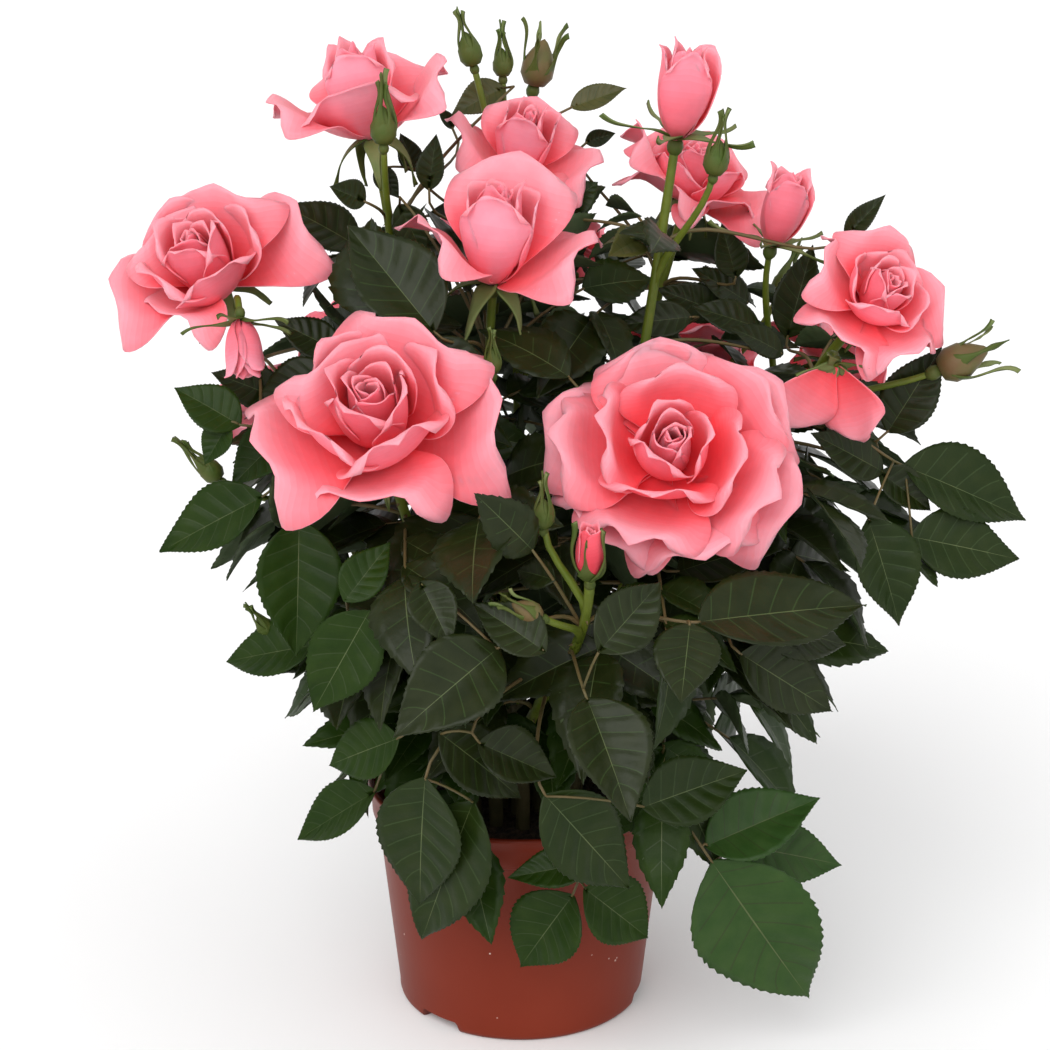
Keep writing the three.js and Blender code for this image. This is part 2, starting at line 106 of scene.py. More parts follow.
SHOOTS = [
    shoot(
        "front_left", "outer", 243, 118,
        flower("cup", 45, (-49, -68, 253), (-0.1, -0.62, 0.78), 20,
               ((194, 0.9, 1.0), (262, 0.9, 0.76), (2, 0.92, 1.0), (58, 0.5, 0.96), (118, 0.42, 0.8))),
    ),
    shoot(
        "front", "outer", 272, 112,
        flower("tightBud", 25, (24, -104, 213), (0, -0.25, 0.97)),
        (0.86, flower("greenBud", 19, (8, -97, 230), (0, -0.15, 1))),
        (0.74, flower("brownBud", 20, (7, -118, 205), (-0.8, -0.2, 0.5))),
    ),
    shoot(
        "front_right", "outer", 301, 118,
        flower("open", 47, (53, -61, 241), (0.02, -0.72, 0.69), 64,
               ((95, 0.8, 0.94), (35, 0.98, 1.02), (340, 1.05, 1.03), (285, 0.94, 0.9), (228, 0.98, 0.9),
                (160, 1.0, 1.0))),
    ),
    shoot(
        "low_right", "outer", 326, 104,
        flower("greenBud", 16, (98, -58, 178), (0.6, -0.3, 0.7)),
    ),
    shoot(
        "right", "outer", 350, 116,
        flower("cup", 27, (127, -12, 284), (0.42, -0.55, 0.72), 150,
               ((20, 0.85, 1.05), (95, 0.6, 1.1), (160, 0.8, 1.1), (235, 0.95, 1.15), (300, 0.9, 1.0))),
        (0.8, flower("spent", 19, (115, -26, 268), (-0.1, -0.75, -0.5), 0,
                     ((228, 1.0, 1.05), (300, 1.0, 1.1)))),
        (0.66, flower("leafyBud", 34, (155, -6, 259), (0.9, 0, 0.42))),
    ),
    shoot(
        "back_right", "outer", 22, 116,
        flower("cup", 27, (122, 70, 236), (0.7, 0.5, 0.5), 40),
        (0.72, flower("pinkBud", 32, (94, 21, 299), (0.25, -0.05, 0.97))),
    ),
    shoot(
        "far_back_right", "outer", 56, 116,
        flower("open", 34, (66, 104, 222), (0.35, 0.7, 0.6), 10),
        (0.66, flower("greenBud", 22, (104, 100, 258), (0.4, 0.3, 0.9))),
    ),
    shoot(
        "back", "outer", 90, 116,
        flower("cup", 32, (0, 104, 278), (0.05, 0.6, 0.8), 80),
        (0.62, flower("pinkBud", 27, (22, 126, 256), (0.2, 0.5, 0.8))),
    ),
    shoot(
        "far_back_left", "outer", 126, 116,
        flower("cup", 33, (-62, 92, 232), (-0.4, 0.7, 0.6), 200),
        (0.62, flower("greenBud", 22, (-44, 116, 246), (-0.1, 0.5, 0.85))),
    ),
    shoot(
        "back_left", "outer", 158, 110,
        flower("half", 23, (-98, 66, 216), (-0.7, 0.35, 0.6), 120),
        (0.6, flower("greenBud", 22, (-118, 40, 200), (-0.7, 0.1, 0.7))),
    ),
    shoot(
        "left", "outer", 188, 116,
        flower("cup", 38, (-112, 2, 289), (-0.3, -0.5, 0.81), 110,
               ((178, 0.92, 1.0), (226, 0.86, 0.66), (28, 0.92, 1.08), (68, 0.5, 0.94),
                (125, 0.45, 0.78))),
        (0.84, flower("pinkBud", 24, (-101, -31, 287), (0.1, -0.45, -0.88))),
    ),
    shoot(
        "low_left", "outer", 215, 104,
        flower("greenBud", 16, (-92, -46, 170), (-0.5, -0.3, 0.8)),
    ),
    shoot(
        "centre", "inner", 262, 128,
        flower("half", 35, (-10, -14, 294), (0.1, -0.2, 0.97), 210,
               ((198, 0.92, 1.02), (342, 1.02, 1.14), (75, 0.42, 1.25))),
        (0.78, flower("greenBud", 16, (-10, -52, 272), (0, -0.1, 1))),
    ),
    shoot(
        "upper_right", "inner", 334, 128,
        flower("pinkBud", 37, (57, 10, 342), (0.14, 0, 0.99)),
        (0.74, flower("greenBud", 23, (70, -6, 333), (0.15, -0.1, 1))),
    ),
    shoot(
        "upper_back_right", "inner", 46, 128,
        flower("cup", 29, (64, 56, 308), (0.25, -0.15, 0.95), 30,
               ((176, 0.6, 1.25), (228, 0.8, 0.9), (352, 0.95, 1.15), (300, 0.85, 0.95), (80, 0.6, 1.0),
                (125, 0.6, 1.0))),
    ),
    shoot(
        "upper_back", "inner", 118, 128,
        flower("half", 28, (-2, 50, 318), (0.2, -0.3, 0.93), 200,
               ((185, 1.0, 1.15), (262, 0.95, 0.95), (345, 1.1, 1.15), (80, 0.5, 1.0))),
        (0.8, flower("greenBud", 23, (-18, 64, 359), (-0.25, 0, 0.97))),
        (0.76, flower("greenBud", 19, (-7, 78, 352), (-0.03, 0, 1))),
        (0.72, flower("leafyBud", 32, (5, 84, 347), (0.22, 0, 0.97))),
    ),
    shoot(
        "upper_left", "inner", 190, 128,
        flower("half", 32, (-55, 30, 338), (-0.2, -0.05, 0.98), 90,
               ((190, 1.05, 1.2), (265, 0.75, 0.95), (355, 1.0, 1.15), (85, 0.7, 1.0))),
        (0.74, flower("greenBud", 24, (-50, 4, 342), (0, 0, 1))),
    ),
]

# Tiers of leaf tips, as in the frame: height, radius, leaves, length, drop from stem to tip.
TIERS = [
    (60, 90, 7, 88, 62),
    (93, 104, 9, 92, 52),
    (128, 114, 10, 96, 40),
    (160, 128, 11, 98, 28),
    (192, 150, 11, 100, 20),
    (224, 144, 10, 92, 12),
    (258, 126, 9, 80, 6),
    (288, 106, 8, 70, 0),
    (318, 72, 7, 60, -6),
]
# The crown reaches farther to the right and less far back, in shares of its radius, and leaf tips
# stray by degrees and mm.
LEAN = {"right": 0.15, "back": -0.04}
JITTER = {"azimuth": 9, "height": 7}
# Where leaves may start: places on a stem and the step between them in shares of its length, what
# counts against a start (level, gain, crowd and load), and on how many stems it's tried.
START = {"places": 9, "step": 0.09, "level": 0.5, "gain": 30, "crowd": 14, "load": 1.5, "tries": 8}
# Leaves here for each leaf of the frame's solids, tier by tier.
FINER = (1.0, 1.8, 2.8, 3.0, 3.0, 3.0, 4.2, 5.0, 5.0)
# Shells of leaves inside the outer one: share of its radius, share of its leaves.
INNER_SHELLS = ((0.78, 0.8), (0.52, 0.6), (0.28, 0.3))
INNER_FLOOR = 100

# The shades of leaves, in the order of their materials.
DARK, MID, FRESH, OLIVE, LIGHT, RIB_SHADE, UNDER_SHADE, VEIN_SHADE = range(8)
FRESH_BELOW = 130
OLIVE_ABOVE = 285
# Leaves that stand out by themselves: a shade, then (base, tip, width in lengths) for each leaflet.
SHOWN = [
    (LIGHT, ((71, -72, 89), (112, -63, 22), 0.6), ((69, -70, 95), (112, -62, 112), 0.58),
     ((84, -50, 85), (124, -45, 75), 0.6)),
    (MID, ((144, -8, 222), (194, -4, 200), 0.56), ((146, -22, 199), (189, -18, 189), 0.62),
     ((128, -34, 210), (142, -44, 171), 0.62)),
    (DARK, ((62, -112, 201), (123, -92, 201), 0.56), ((58, -118, 202), (54, -146, 185), 0.7)),
    (DARK, ((78, -96, 182), (112, -92, 158), 0.6), ((82, -84, 190), (120, -70, 176), 0.6)),
    (DARK, ((23, -124, 177), (39, -153, 145), 0.66), ((27, -128, 197), (49, -110, 216), 0.62)),
    (DARK, ((-8, -122, 195), (-43, -148, 174), 0.64), ((8, -126, 196), (-17, -118, 212), 0.6),
     ((-34, -112, 215), (-23, -128, 198), 0.66)),
    (FRESH, ((-95, -34, 219), (-136, -30, 196), 0.52), ((-79, -66, 221), (-80, -80, 173), 0.62)),
    (FRESH, ((-75, -60, 171), (-111, -46, 159), 0.56), ((-53, -98, 199), (-74, -98, 160), 0.6),
     ((-61, -96, 203), (-45, -84, 221), 0.6)),
    (FRESH, ((-44, -92, 148), (-72, -78, 131), 0.62), ((-54, -66, 115), (-85, -56, 90), 0.5)),
    (MID, ((-34, -98, 135), (-39, -84, 74), 0.52), ((-17, -96, 125), (-39, -78, 57), 0.46)),
    (FRESH, ((19, -74, 76), (-2, -74, 45), 0.78), ((24, -78, 81), (49, -74, 58), 0.78),
     ((26, -86, 96), (-6, -84, 89), 0.5)),
    (MID, ((9, -108, 133), (41, -98, 90), 0.56), ((44, -104, 127), (83, -92, 137), 0.6)),
    (DARK, ((-14, -112, 155), (14, -112, 142), 0.66), ((-28, -108, 157), (3, -104, 130), 0.6)),
    (DARK, ((-31, -46, 286), (-63, -20, 319), 0.6), ((-34, -44, 280), (-8, -50, 262), 0.62)),
    (DARK, ((-62, 34, 296), (-92, 38, 314), 0.62)),
    (FRESH, ((-102, -40, 249), (-126, -36, 263), 0.66), ((-106, -40, 249), (-115, -44, 234), 0.7)),
    (DARK, ((-72, -14, 262), (-98, -24, 252), 0.66)),
    (FRESH, ((-86, -20, 240), (-108, -30, 222), 0.66), ((-80, -24, 246), (-62, -40, 228), 0.6)),
    (OLIVE, ((20, 70, 342), (42, 70, 350), 0.5)),
    (OLIVE, ((-7, 76, 348), (-28, 70, 339), 0.6)),
    (DARK, ((-88, -14, 250), (-114, -18, 263), 0.6)),
    (DARK, ((58, -50, 196), (92, -44, 206), 0.62)),
    (DARK, ((121, 10, 306), (135, 10, 323), 0.4)),
    (DARK, ((-58, 8, 320), (-71, 4, 327), 0.75)),
    (DARK, ((-40, 46, 323), (-46, 46, 338), 0.6), ((-54, 34, 326), (-45, 30, 315), 0.6)),
    (DARK, ((-34, 16, 323), (-31, 18, 344), 0.5)),
    (DARK, ((-27, 84, 331), (-33, 84, 340), 0.5)),
    (DARK, ((26, 80, 326), (38, 80, 330), 0.55)),
    (MID, ((16, 30, 312), (30, 34, 322), 0.8)),
    (DARK, ((-45, 16, 316), (-35, 12, 296), 0.6)),
    (DARK, ((103, 40, 259), (112, 44, 295), 0.5)),
    (DARK, ((82, 36, 284), (76, 38, 305), 0.6)),
    (DARK, ((99, 20, 258), (79, 16, 271), 0.6), ((91, 30, 265), (64, 26, 276), 0.5)),
    (DARK, ((135, -10, 221), (107, -14, 238), 0.6)),
    (DARK, ((64, 24, 271), (35, 20, 269), 0.5)),
    (DARK, ((87, 42, 272), (65, 40, 287), 0.55), ((77, 40, 268), (51, 38, 279), 0.55)),
    (DARK, ((-68, -4, 266), (-92, -2, 278), 0.6), ((-71, 0, 257), (-88, 0, 257), 0.6)),
    (DARK, ((138, -4, 235), (157, -2, 268), 0.56), ((135, -10, 220), (155, -14, 206), 0.62)),
]
# How leaves that stand out face and droop, and the best length for their stalks.
SHOWN_FACING = (0, -0.72, 0.62)
SHOWN_DROOP = (0.0, 0.1)
STALK_LENGTH = 42

LEAFLET = {
    "width": 0.6,
    "slant": 0.18,
    # the height of the quilting, and the length (mm) above which it grows no more
    "quilt": 0.009,
    "quilted": 45,
    "vein": 0.07,
    "sunk": 1.0,
    # the depth of a notch in the edge and how far a tooth leans on, in rows of the grid, and how far
    # a tooth stands out, in depths of a notch
    "notch": 1.1,
    "tooth_on": 0.3,
    "tooth_out": 0.8,
    # at the tip, more for each mm of half width, and at most
    "thickness": (0.02, 0.06, 0.35),
    # for each pair, how far it stands back from the end leaflet and its length, in leaf sizes
    "pairs": ((0.06, 0.44), (0.25, 0.36)),
}
# How finely a leaflet is drawn: veins on each side, rows from one vein to the next, and columns.
SPRAY_BLADE = {"veins": 6, "rows": 4, "columns": (1, 0.58, 0.018, -0.018, -0.58, -1)}
SHOWN_BLADE = {
    "veins": 8,
    "rows": 6,
    "columns": (1, 0.84, 0.6, 0.32, 0.014, -0.014, -0.32, -0.6, -0.84, -1),
}
# A leaf's stalk: its radii, sides, and the share of the end leaflet's length that it leaves bare.
RACHIS = {"base": 0.8, "tip": 0.5, "sides": 6, "share": 0.5}
# The least share of a leaf's reach that its leaflets take up; the rest is bare stalk.
LEAFY_SHARE = 0.82
# Air kept round the sample points of what has grown, and how far off a new part looks for others.
AIR = {"cane": 2.4, "stem": 1.6, "stalk": 1.3, "twig": 0.8, "leaf": 1.1}
LOOK_ROUND = 4
LOWEST_LEAF = 4
# Places kept open for flowers, in their size: radius and height over a bud, radius and height over
# a bloom, and lift, radius and reach (mm) of the view of a bloom.
OPEN_PLACES = {"bud": (0.36, 1.15), "bloom": (1.12, 2.1), "view": (0.4, 0.95, 90)}
# The slope of the cone above which a bloom's place is open; leaves may reach in below it.
BLOOM_SLOPE = {"open": 0.16, "cup": 0.18, "half": 0.5, "spent": 0.3}
SEED = {"plant": 2, "pot": 3, "peat": 4, "flowers": 12, "leaves": 1000}


# ------------------ numbers and curves
def random_from(seed):
    """The same random numbers every time (mulberry32), each from `low` to `high`."""
    mask = 0xFFFFFFFF
    state = seed & mask

    def draw(low=0.0, high=1.0):
        nonlocal state
        state = (state + 0x6D2B79F5) & mask
        t = state
        t = ((t ^ (t >> 15)) * (t | 1)) & mask
        t ^= (t + ((t ^ (t >> 7)) * (t | 61) & mask)) & mask
        return low + (high - low) * ((t ^ (t >> 14)) & mask) / 4294967296

    return draw


def unit(v):
    return v / max(np.linalg.norm(v), TINY)


def units(vectors):
    """The vectors of an array's last axis, each made 1 long."""
    return vectors / np.maximum(np.linalg.norm(vectors, axis=-1, keepdims=True), TINY)


def any_way(draw):
    """A random direction, not made 1 long."""
    return np.array((draw(-1, 1), draw(-1, 1), draw(-1, 1)))


def smooth(low, high, x):
    t = np.clip((x - low) / (high - low), 0, 1)
    return t * t * (3 - 2 * t)


class Curve:
    """A Bezier curve, read by share of its length."""

    STEPS = 120

    def __init__(self, *controls):
        t = np.linspace(0, 1, self.STEPS + 1)[:, None]
        n = len(controls) - 1
        weights = [math.comb(n, i) * (1 - t) ** (n - i) * t**i for i in range(n + 1)]
        self.points = sum(weight * np.asarray(c, float) for weight, c in zip(weights, controls))
        steps = np.linalg.norm(np.diff(self.points, axis=0), axis=1)
        self.lengths = np.concatenate(([0], np.cumsum(steps)))
        self.length = self.lengths[-1]

    def at(self, share):
        where = np.asarray(share) * self.length
        return np.stack([np.interp(where, self.lengths, self.points[:, k]) for k in range(3)], -1)

    def heading(self, share):
        step = 0.01
        low, high = max(share - step, 0), min(share + step, 1)
        return unit(self.at(high) - self.at(low))

    def spread(self, count, low=0.0, high=1.0):
        """That many points, evenly spread over a part of the curve."""
        return self.at(np.linspace(low, high, count))


def fork_of(plan):
    a = math.radians(plan["azimuth"])
    return np.array((math.cos(a), math.sin(a), 0)) * RING[plan["ring"]] + UP * plan["fork"]


def cane_curve(plan):
    tip = fork_of(plan)
    foot = tip * (RING_FOOT, RING_FOOT, 0) + UP * (SOIL_TOP - CANE["planted"])
    rise = (tip[2] - foot[2]) / 3
    lean = unit(tip * (1, 1, 0)) * rise * CANE["lean"] + UP * rise
    return Curve(foot, foot + UP * rise, tip - lean, tip)


def stalk_curve(start, heading, end):
    reach = np.linalg.norm(end["at"] - start) / 3
    return Curve(
        start,
        start + heading * reach,
        end["at"] - end["facing"] * reach,
        end["at"] + end["facing"] * end["size"] * INTO_FLOWER,
    )


# ------------------ meshes
class Piece:
    """Gathers closed surfaces, and makes one object of them with a material for each shade."""

    def __init__(self, name):
        self.name = name
        self.points, self.quads, self.tris = [], [], []
        self.quad_shades, self.tri_shades = [], []
        self.count = 0

    def add(self, points, quads, shades, tris=None, tri_shade=0):
        self.points.append(points)
        self.quads.append(quads + self.count)
        self.quad_shades.append(np.broadcast_to(shades, len(quads)))
        if tris is not None:
            self.tris.append(tris + self.count)
            self.tri_shades.append(np.broadcast_to(tri_shade, len(tris)))
        self.count += len(points)

    def build(self, materials, slot, *nodes):
        quads = np.concatenate(self.quads)
        tris = np.concatenate(self.tris) if self.tris else np.zeros((0, 3), int)
        corners = np.concatenate((quads.ravel(), tris.ravel()))
        sizes = np.concatenate((np.full(len(quads), 4), np.full(len(tris), 3)))
        shades = np.concatenate(self.quad_shades + self.tri_shades)
        mesh = bpy.data.meshes.new(self.name)
        mesh.vertices.add(self.count)
        mesh.vertices.foreach_set("co", (np.concatenate(self.points) * MM).ravel())
        mesh.loops.add(len(corners))
        mesh.loops.foreach_set("vertex_index", corners.astype(np.int32))
        mesh.polygons.add(len(sizes))
        starts = np.concatenate(([0], np.cumsum(sizes)[:-1]))
        mesh.polygons.foreach_set("loop_start", starts.astype(np.int32))
        for material in materials:
            mesh.materials.append(material)
        mesh.polygons.foreach_set("material_index", shades.astype(np.int32))
        mesh.polygons.foreach_set("use_smooth", np.ones(len(sizes), bool))
        mesh.update(calc_edges=True)
        mesh.validate()
        piece = bpy.data.objects.new(self.name, mesh)
        bpy.context.scene.collection.objects.link(piece)
        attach(piece, "root")
        if nodes:
            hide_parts(*nodes)


@lru_cache
def sheet_faces(rows, cols):
    """Faces over two grids of points, one behind the other: the top's, the underside's, and those of
    the rim that closes them. Also gives the number of the rim's faces."""
    index = np.arange(rows * cols).reshape(rows, cols)
    top = np.stack((index[:-1, :-1], index[:-1, 1:], index[1:, 1:], index[1:, :-1]), -1).reshape(-1, 4)
    under = top[:, ::-1] + rows * cols
    ring = np.concatenate((index[0, :-1], index[:-1, -1], index[-1, :0:-1], index[:0:-1, 0]))
    after = np.roll(ring, -1)
    rim = np.stack((after, ring, ring + rows * cols, after + rows * cols), -1)
    return np.concatenate((top, under, rim)), len(rim)


def add_sheet(piece, grid, thickness, top_shades, under_shades, rim_shade):
    """Adds a thin closed solid over a grid of points, `thickness` thick."""
    rows, cols = grid.shape[:2]
    normal = units(np.cross(np.gradient(grid, axis=1), np.gradient(grid, axis=0)))
    offset = normal * thickness / 2
    faces, rim_count = sheet_faces(rows, cols)
    points = np.concatenate(((grid + offset).reshape(-1, 3), (grid - offset).reshape(-1, 3)))
    cells = (rows - 1, cols - 1)
    shades = [np.broadcast_to(side, cells).ravel() for side in (top_shades, under_shades)]
    piece.add(points, faces, np.concatenate((*shades, np.full(rim_count, rim_shade))))


@lru_cache
def tube_faces(rings, sides):
    """Faces of a closed tube: quads from ring to ring, and triangles to the two end points, which
    follow the points of the rings."""
    index = np.arange(rings * sides).reshape(rings, sides)
    after = np.roll(index, -1, axis=1)
    quads = np.stack((index[:-1], after[:-1], after[1:], index[1:]), -1).reshape(-1, 4)
    first, last = (np.full(sides, rings * sides + k) for k in (0, 1))
    start_cap = np.stack((after[0], index[0], first), -1)
    end_cap = np.stack((index[-1], after[-1], last), -1)
    return quads, np.concatenate((start_cap, end_cap))


# Directions that no tube and no turned shape follows: their rings are turned from these.
TUBE_ASIDE = (0.31, 0.87, 0.37)
LATHE_ASIDE = (0.12, 0.97, 0.21)


def add_tube(piece, spine, radii, sides, shade, relief=0.0, draw=None):
    """Adds a closed tube along a line of points. `relief` roughens it by a share of its radius."""
    tangents = units(np.gradient(spine, axis=0))
    side = unit(np.cross(tangents[0], TUBE_ASIDE))
    angles = np.arange(sides) * 2 * math.pi / sides
    points = np.empty((len(spine), sides, 3))
    for i, tangent in enumerate(tangents):
        side = unit(side - tangent * side.dot(tangent))
        other = np.cross(tangent, side)
        radius = radii[i] * (1 + relief * np.array([draw(-1, 1) for _ in angles])) if relief else radii[i]
        x, y = np.cos(angles) * radius, np.sin(angles) * radius
        points[i] = spine[i] + x[:, None] * side + y[:, None] * other
    quads, caps = tube_faces(len(spine), sides)
    all_points = np.concatenate((points.reshape(-1, 3), spine[:1], spine[-1:]))
    piece.add(all_points, quads, shade, caps, shade)


def add_lathe(piece, profile, sides, shade, origin=(0, 0, 0), axis=UP, lift=None):
    """Adds a closed solid turned from (radius, height) points that start and end on the axis. `lift`
    gives new heights for the radii and heights of its rings and the angles round them."""
    profile = np.array(profile, float)
    inner = profile[1:-1]
    angles = np.arange(sides) * 2 * math.pi / sides
    across = unit(np.cross(axis, LATHE_ASIDE)) if abs(axis[2]) < 0.999 else RIGHT
    other = np.cross(axis, across)
    radii, heights = (np.repeat(inner[:, k : k + 1], sides, axis=1) for k in (0, 1))
    if lift is not None:
        heights = lift(radii, heights, angles)
    ring = np.cos(angles)[:, None] * across + np.sin(angles)[:, None] * other
    points = radii[..., None] * ring + heights[..., None] * axis
    quads, caps = tube_faces(len(inner), sides)
    poles = np.stack((axis * profile[0, 1], axis * profile[-1, 1]))
    all_points = np.concatenate((points.reshape(-1, 3), poles)) + np.asarray(origin, float)
    piece.add(all_points, quads, shade, caps, shade)


def scaled(profile, radius, height):
    return [(r * radius, h * height) for r, h in profile]


# ------------------ petals
# A petal is a blade over a centre line in the plane of the flower's axis. Its angles from the axis
# are given at these places along it, from the base to the lip.
ANGLE_PLACES = (0, 0.35, 0.7, 0.88, 1)
LINE_STEPS = 60
# The farthest that a petal reaches round the radius it's rolled to, in radians.
MOST_TURN = 2.5
PETAL_ROWS = 18
PETAL_COLUMNS = 13
SEPAL_COLUMNS = 5
SHEET_THICKNESS = 0.45
INNER_SHADES = 24
BACK_SHADES = 24
LIP_SHADE = 19
SEPAL_SHADE, SEPAL_BACK_SHADE, BROWN_SHADE = range(3)
GOLDEN_ANGLE = 137.5
# Petals that are rolled to less than this are tight, and the others are loose.
LOOSE_WRAP = 2
# The outline of a petal: its width at the base, where it's widest, how much of its width the lip
# loses, how far the lip's corners are rounded back (at least, and more in open petals), and the
# height and half width of the lip's point. Then how much a petal waves.
PETAL = {
    "base": 0.16,
    "widest": 0.62,
    "lip_loss": {"tight": 0.42, "loose": 0.28},
    "rounding": (0.07, 0.15),
    "point": (0.04, 0.2),
    "wave": {"tight": 0.045, "loose": 0.03},
}


def whorl(count, length, width, angles, wrap, depth):
    """Petals in one ring: lengths in the flower's radius, `wrap` the radius that a petal is rolled
    to, in its distance from the axis, and `depth` how dark and rich its colour is, from 0 to 1. That
    darkness is partly the petal's own colour and partly painted shade of the bloom's hollow."""
    shape = {"length": length, "width": width, "angles": angles, "wrap": wrap}
    return {"count": count, "depth": depth, **shape}


# The whorls of each kind, from the middle out. Closed buds and spent blooms have none.
FLOWERS = {
    "open": [
        whorl(2, 0.57, 0.15, (14, -2, -6, -4, 20), 1.0, 0.5),
        whorl(3, 0.6, 0.2, (34, 0, -12, -8, 10), 1.0, 0.45),
        whorl(3, 0.64, 0.27, (48, 4, -8, -2, 50), 1.03, 0.5),
        whorl(3, 0.7, 0.4, (78, 20, -8, 2, 95), 1.1, 0.6),
        whorl(4, 0.86, 0.52, (92, 46, 8, 20, 100), 1.35, 0.75),
        whorl(5, 0.98, 0.54, (92, 70, 38, 50, 116), 1.8, 0.4),
    ],
    "cup": [
        whorl(2, 0.77, 0.15, (12, -2, -4, -2, 20), 1.0, 0.5),
        whorl(3, 0.8, 0.24, (32, 2, -10, -8, 8), 1.0, 0.7),
        whorl(3, 0.86, 0.36, (46, 6, -6, -2, 48), 1.02, 0.65),
        whorl(4, 0.94, 0.46, (60, 14, -2, 4, 88), 1.08, 0.5),
        whorl(4, 1.0, 0.58, (90, 40, 6, 14, 100), 1.25, 0.4),
    ],
    "half": [
        whorl(2, 1.1, 0.16, (10, 0, -4, -4, 12), 1.0, 0.5),
        whorl(3, 1.14, 0.3, (26, 0, -10, -10, 4), 1.0, 0.6),
        whorl(3, 1.2, 0.44, (40, 6, -6, -4, 40), 1.02, 0.5),
        whorl(3, 1.22, 0.56, (52, 14, 0, 8, 80), 1.08, -0.15),
    ],
    "pinkBud": [
        whorl(3, 0.94, 0.2, (22, 2, -10, -10, 2), 1.0, 0.5),
        whorl(3, 1.0, 0.3, (38, 8, -8, -4, 40), 1.03, 0.35),
        whorl(3, 1.0, 0.36, (48, 12, -6, 6, 75), 1.06, 0.3),
    ],
    "tightBud": [
        whorl(3, 0.86, 0.2, (26, 2, -10, -10, 2), 1.0, 1.2),
        whorl(4, 0.92, 0.27, (38, 4, -10, -8, 20), 1.05, 1.4),
    ],
}
CLOSED_BUDS = {"greenBud": SEPAL_SHADE, "leafyBud": BROWN_SHADE, "brownBud": BROWN_SHADE}
BUDS = (*CLOSED_BUDS, "pinkBud", "tightBud")
# The outermost petals of each kind. Their number here is for flowers without listed petals.
OUTER = {
    "open": whorl(6, 1.0, 0.54, (96, 84, 66, 76, 122), 2.6, 0.2),
    "cup": whorl(5, 1.04, 0.7, (98, 82, 56, 60, 92), 3.0, 0.2),
    "half": whorl(3, 1.12, 0.78, (74, 50, 36, 48, 105), 2.4, -0.15),
    "spent": whorl(3, 1.5, 0.7, (70, 50, 40, 50, 90), 1.6, 0.3),
}
# Length, width and angles of the sepals of each kind, as in a whorl.
SEPALS = {
    "open": (0.62, 0.13, (100, 125, 150, 160, 150)),
    "cup": (0.62, 0.12, (100, 125, 150, 160, 150)),
    "half": (0.78, 0.14, (95, 125, 160, 168, 160)),
    "pinkBud": (0.85, 0.12, (62, 88, 84, 66, 50)),
    "tightBud": (0.95, 0.19, (52, 12, -12, -4, 20)),
    "greenBud": (1.1, 0.19, (46, -10, -22, 8, 30)),
    "leafyBud": (0.85, 0.15, (52, 10, 4, 30, 60)),
    "brownBud": (0.9, 0.15, (50, 0, -10, 20, 50)),
    "spent": (0.9, 0.16, (60, 70, 60, 50, 40)),
}
SEPAL = {"count": 5, "wrap": 1.3, "leafy": 0.15, "narrowed": 0.82, "lean": (0.9, 1.1)}
# How much of a leafy tip the sepals have, how much of its width a sepal loses past its middle, and
# how far they lean, where a kind differs from the rest.
LEAFY_TIP = {"leafyBud": 0.55, "pinkBud": 0.1}
NARROWED = {"open": 0.45, "cup": 0.45, "half": 0.3}
SEPAL_LEAN = {"leafyBud": (0.6, 1.2)}
# Turned shapes as (radius, height) points: the hip in measures of its own, which are shares of the
# flower's size, and the body of a closed bud in its size.
HIP = {"radius": 0.085, "height": 0.14, "least_size": 22}
HIP_PROFILE = ((0, -1.1), (0.45, -1.05), (0.85, -0.75), (1.0, -0.4), (0.85, 0), (0.7, 0.12), (0, 0.16))
BUD_PROFILE = ((0, 0), (0.13, 0.03), (0.2, 0.14), (0.2, 0.3), (0.13, 0.44), (0.05, 0.56), (0, 0.6))


def flower_axes(bloom):
    facing = bloom["facing"]
    across = unit(RIGHT - facing * RIGHT.dot(facing))
    return across, np.cross(facing, across), facing


def openness(style):
    """How far the lip of a petal opens: 1 where it's level or hangs."""
    return min(style["angles"][-1] / 90, 1)


def tightness(style):
    return "tight" if style["wrap"] < LOOSE_WRAP else "loose"


def petal_outline(style, t, s):
    """A petal's width at each point, and how far along its centre line the point stands."""
    base, widest = PETAL["base"], PETAL["widest"]
    width = base + (1 - base) * np.sin(math.pi / 2 * np.minimum(t / widest, 1)) ** 1.4
    past = np.maximum(0, (t - widest) / (1 - widest))
    width *= 1 - PETAL["lip_loss"][tightness(style)] * past**2.2
    least, more = PETAL["rounding"]
    rounding = least + more * openness(style)
    height, half_width = PETAL["point"]
    point = height * (1 - np.exp(-((s / half_width) ** 2)))
    return width, t * (1 - (rounding * np.abs(s) ** 2.2 + point) * t**3)


def sepal_outline(style, t, s):
    """The same for a sepal, which narrows to its tip and may widen to a leafy end before it."""
    width = (1 - smooth(0.15, 0.62, t) * style["narrowed"]) * (0.6 + 0.4 * smooth(0, 0.2, t))
    leafy_end = style["leafy"] * np.exp(-(((t - 0.8) / 0.1) ** 2))
    return (width + leafy_end) * (1.003 - t) ** 0.8, t


def centre_line(style, lean):
    """Places along a petal from 0 to 1, and its radius, height and angle from the axis at them. It
    starts a little off the axis and above the flower's base."""
    places = np.linspace(0, 1, LINE_STEPS + 1)
    angles = np.radians(np.interp(places, ANGLE_PLACES, style["angles"]) * lean)
    step = style["length"] / LINE_STEPS
    radii = 0.05 + np.concatenate(([0], np.cumsum(np.sin(angles[:-1]) * step)))
    heights = 0.02 + np.concatenate(([0], np.cumsum(np.cos(angles[:-1]) * step)))
    return places, radii, heights, angles


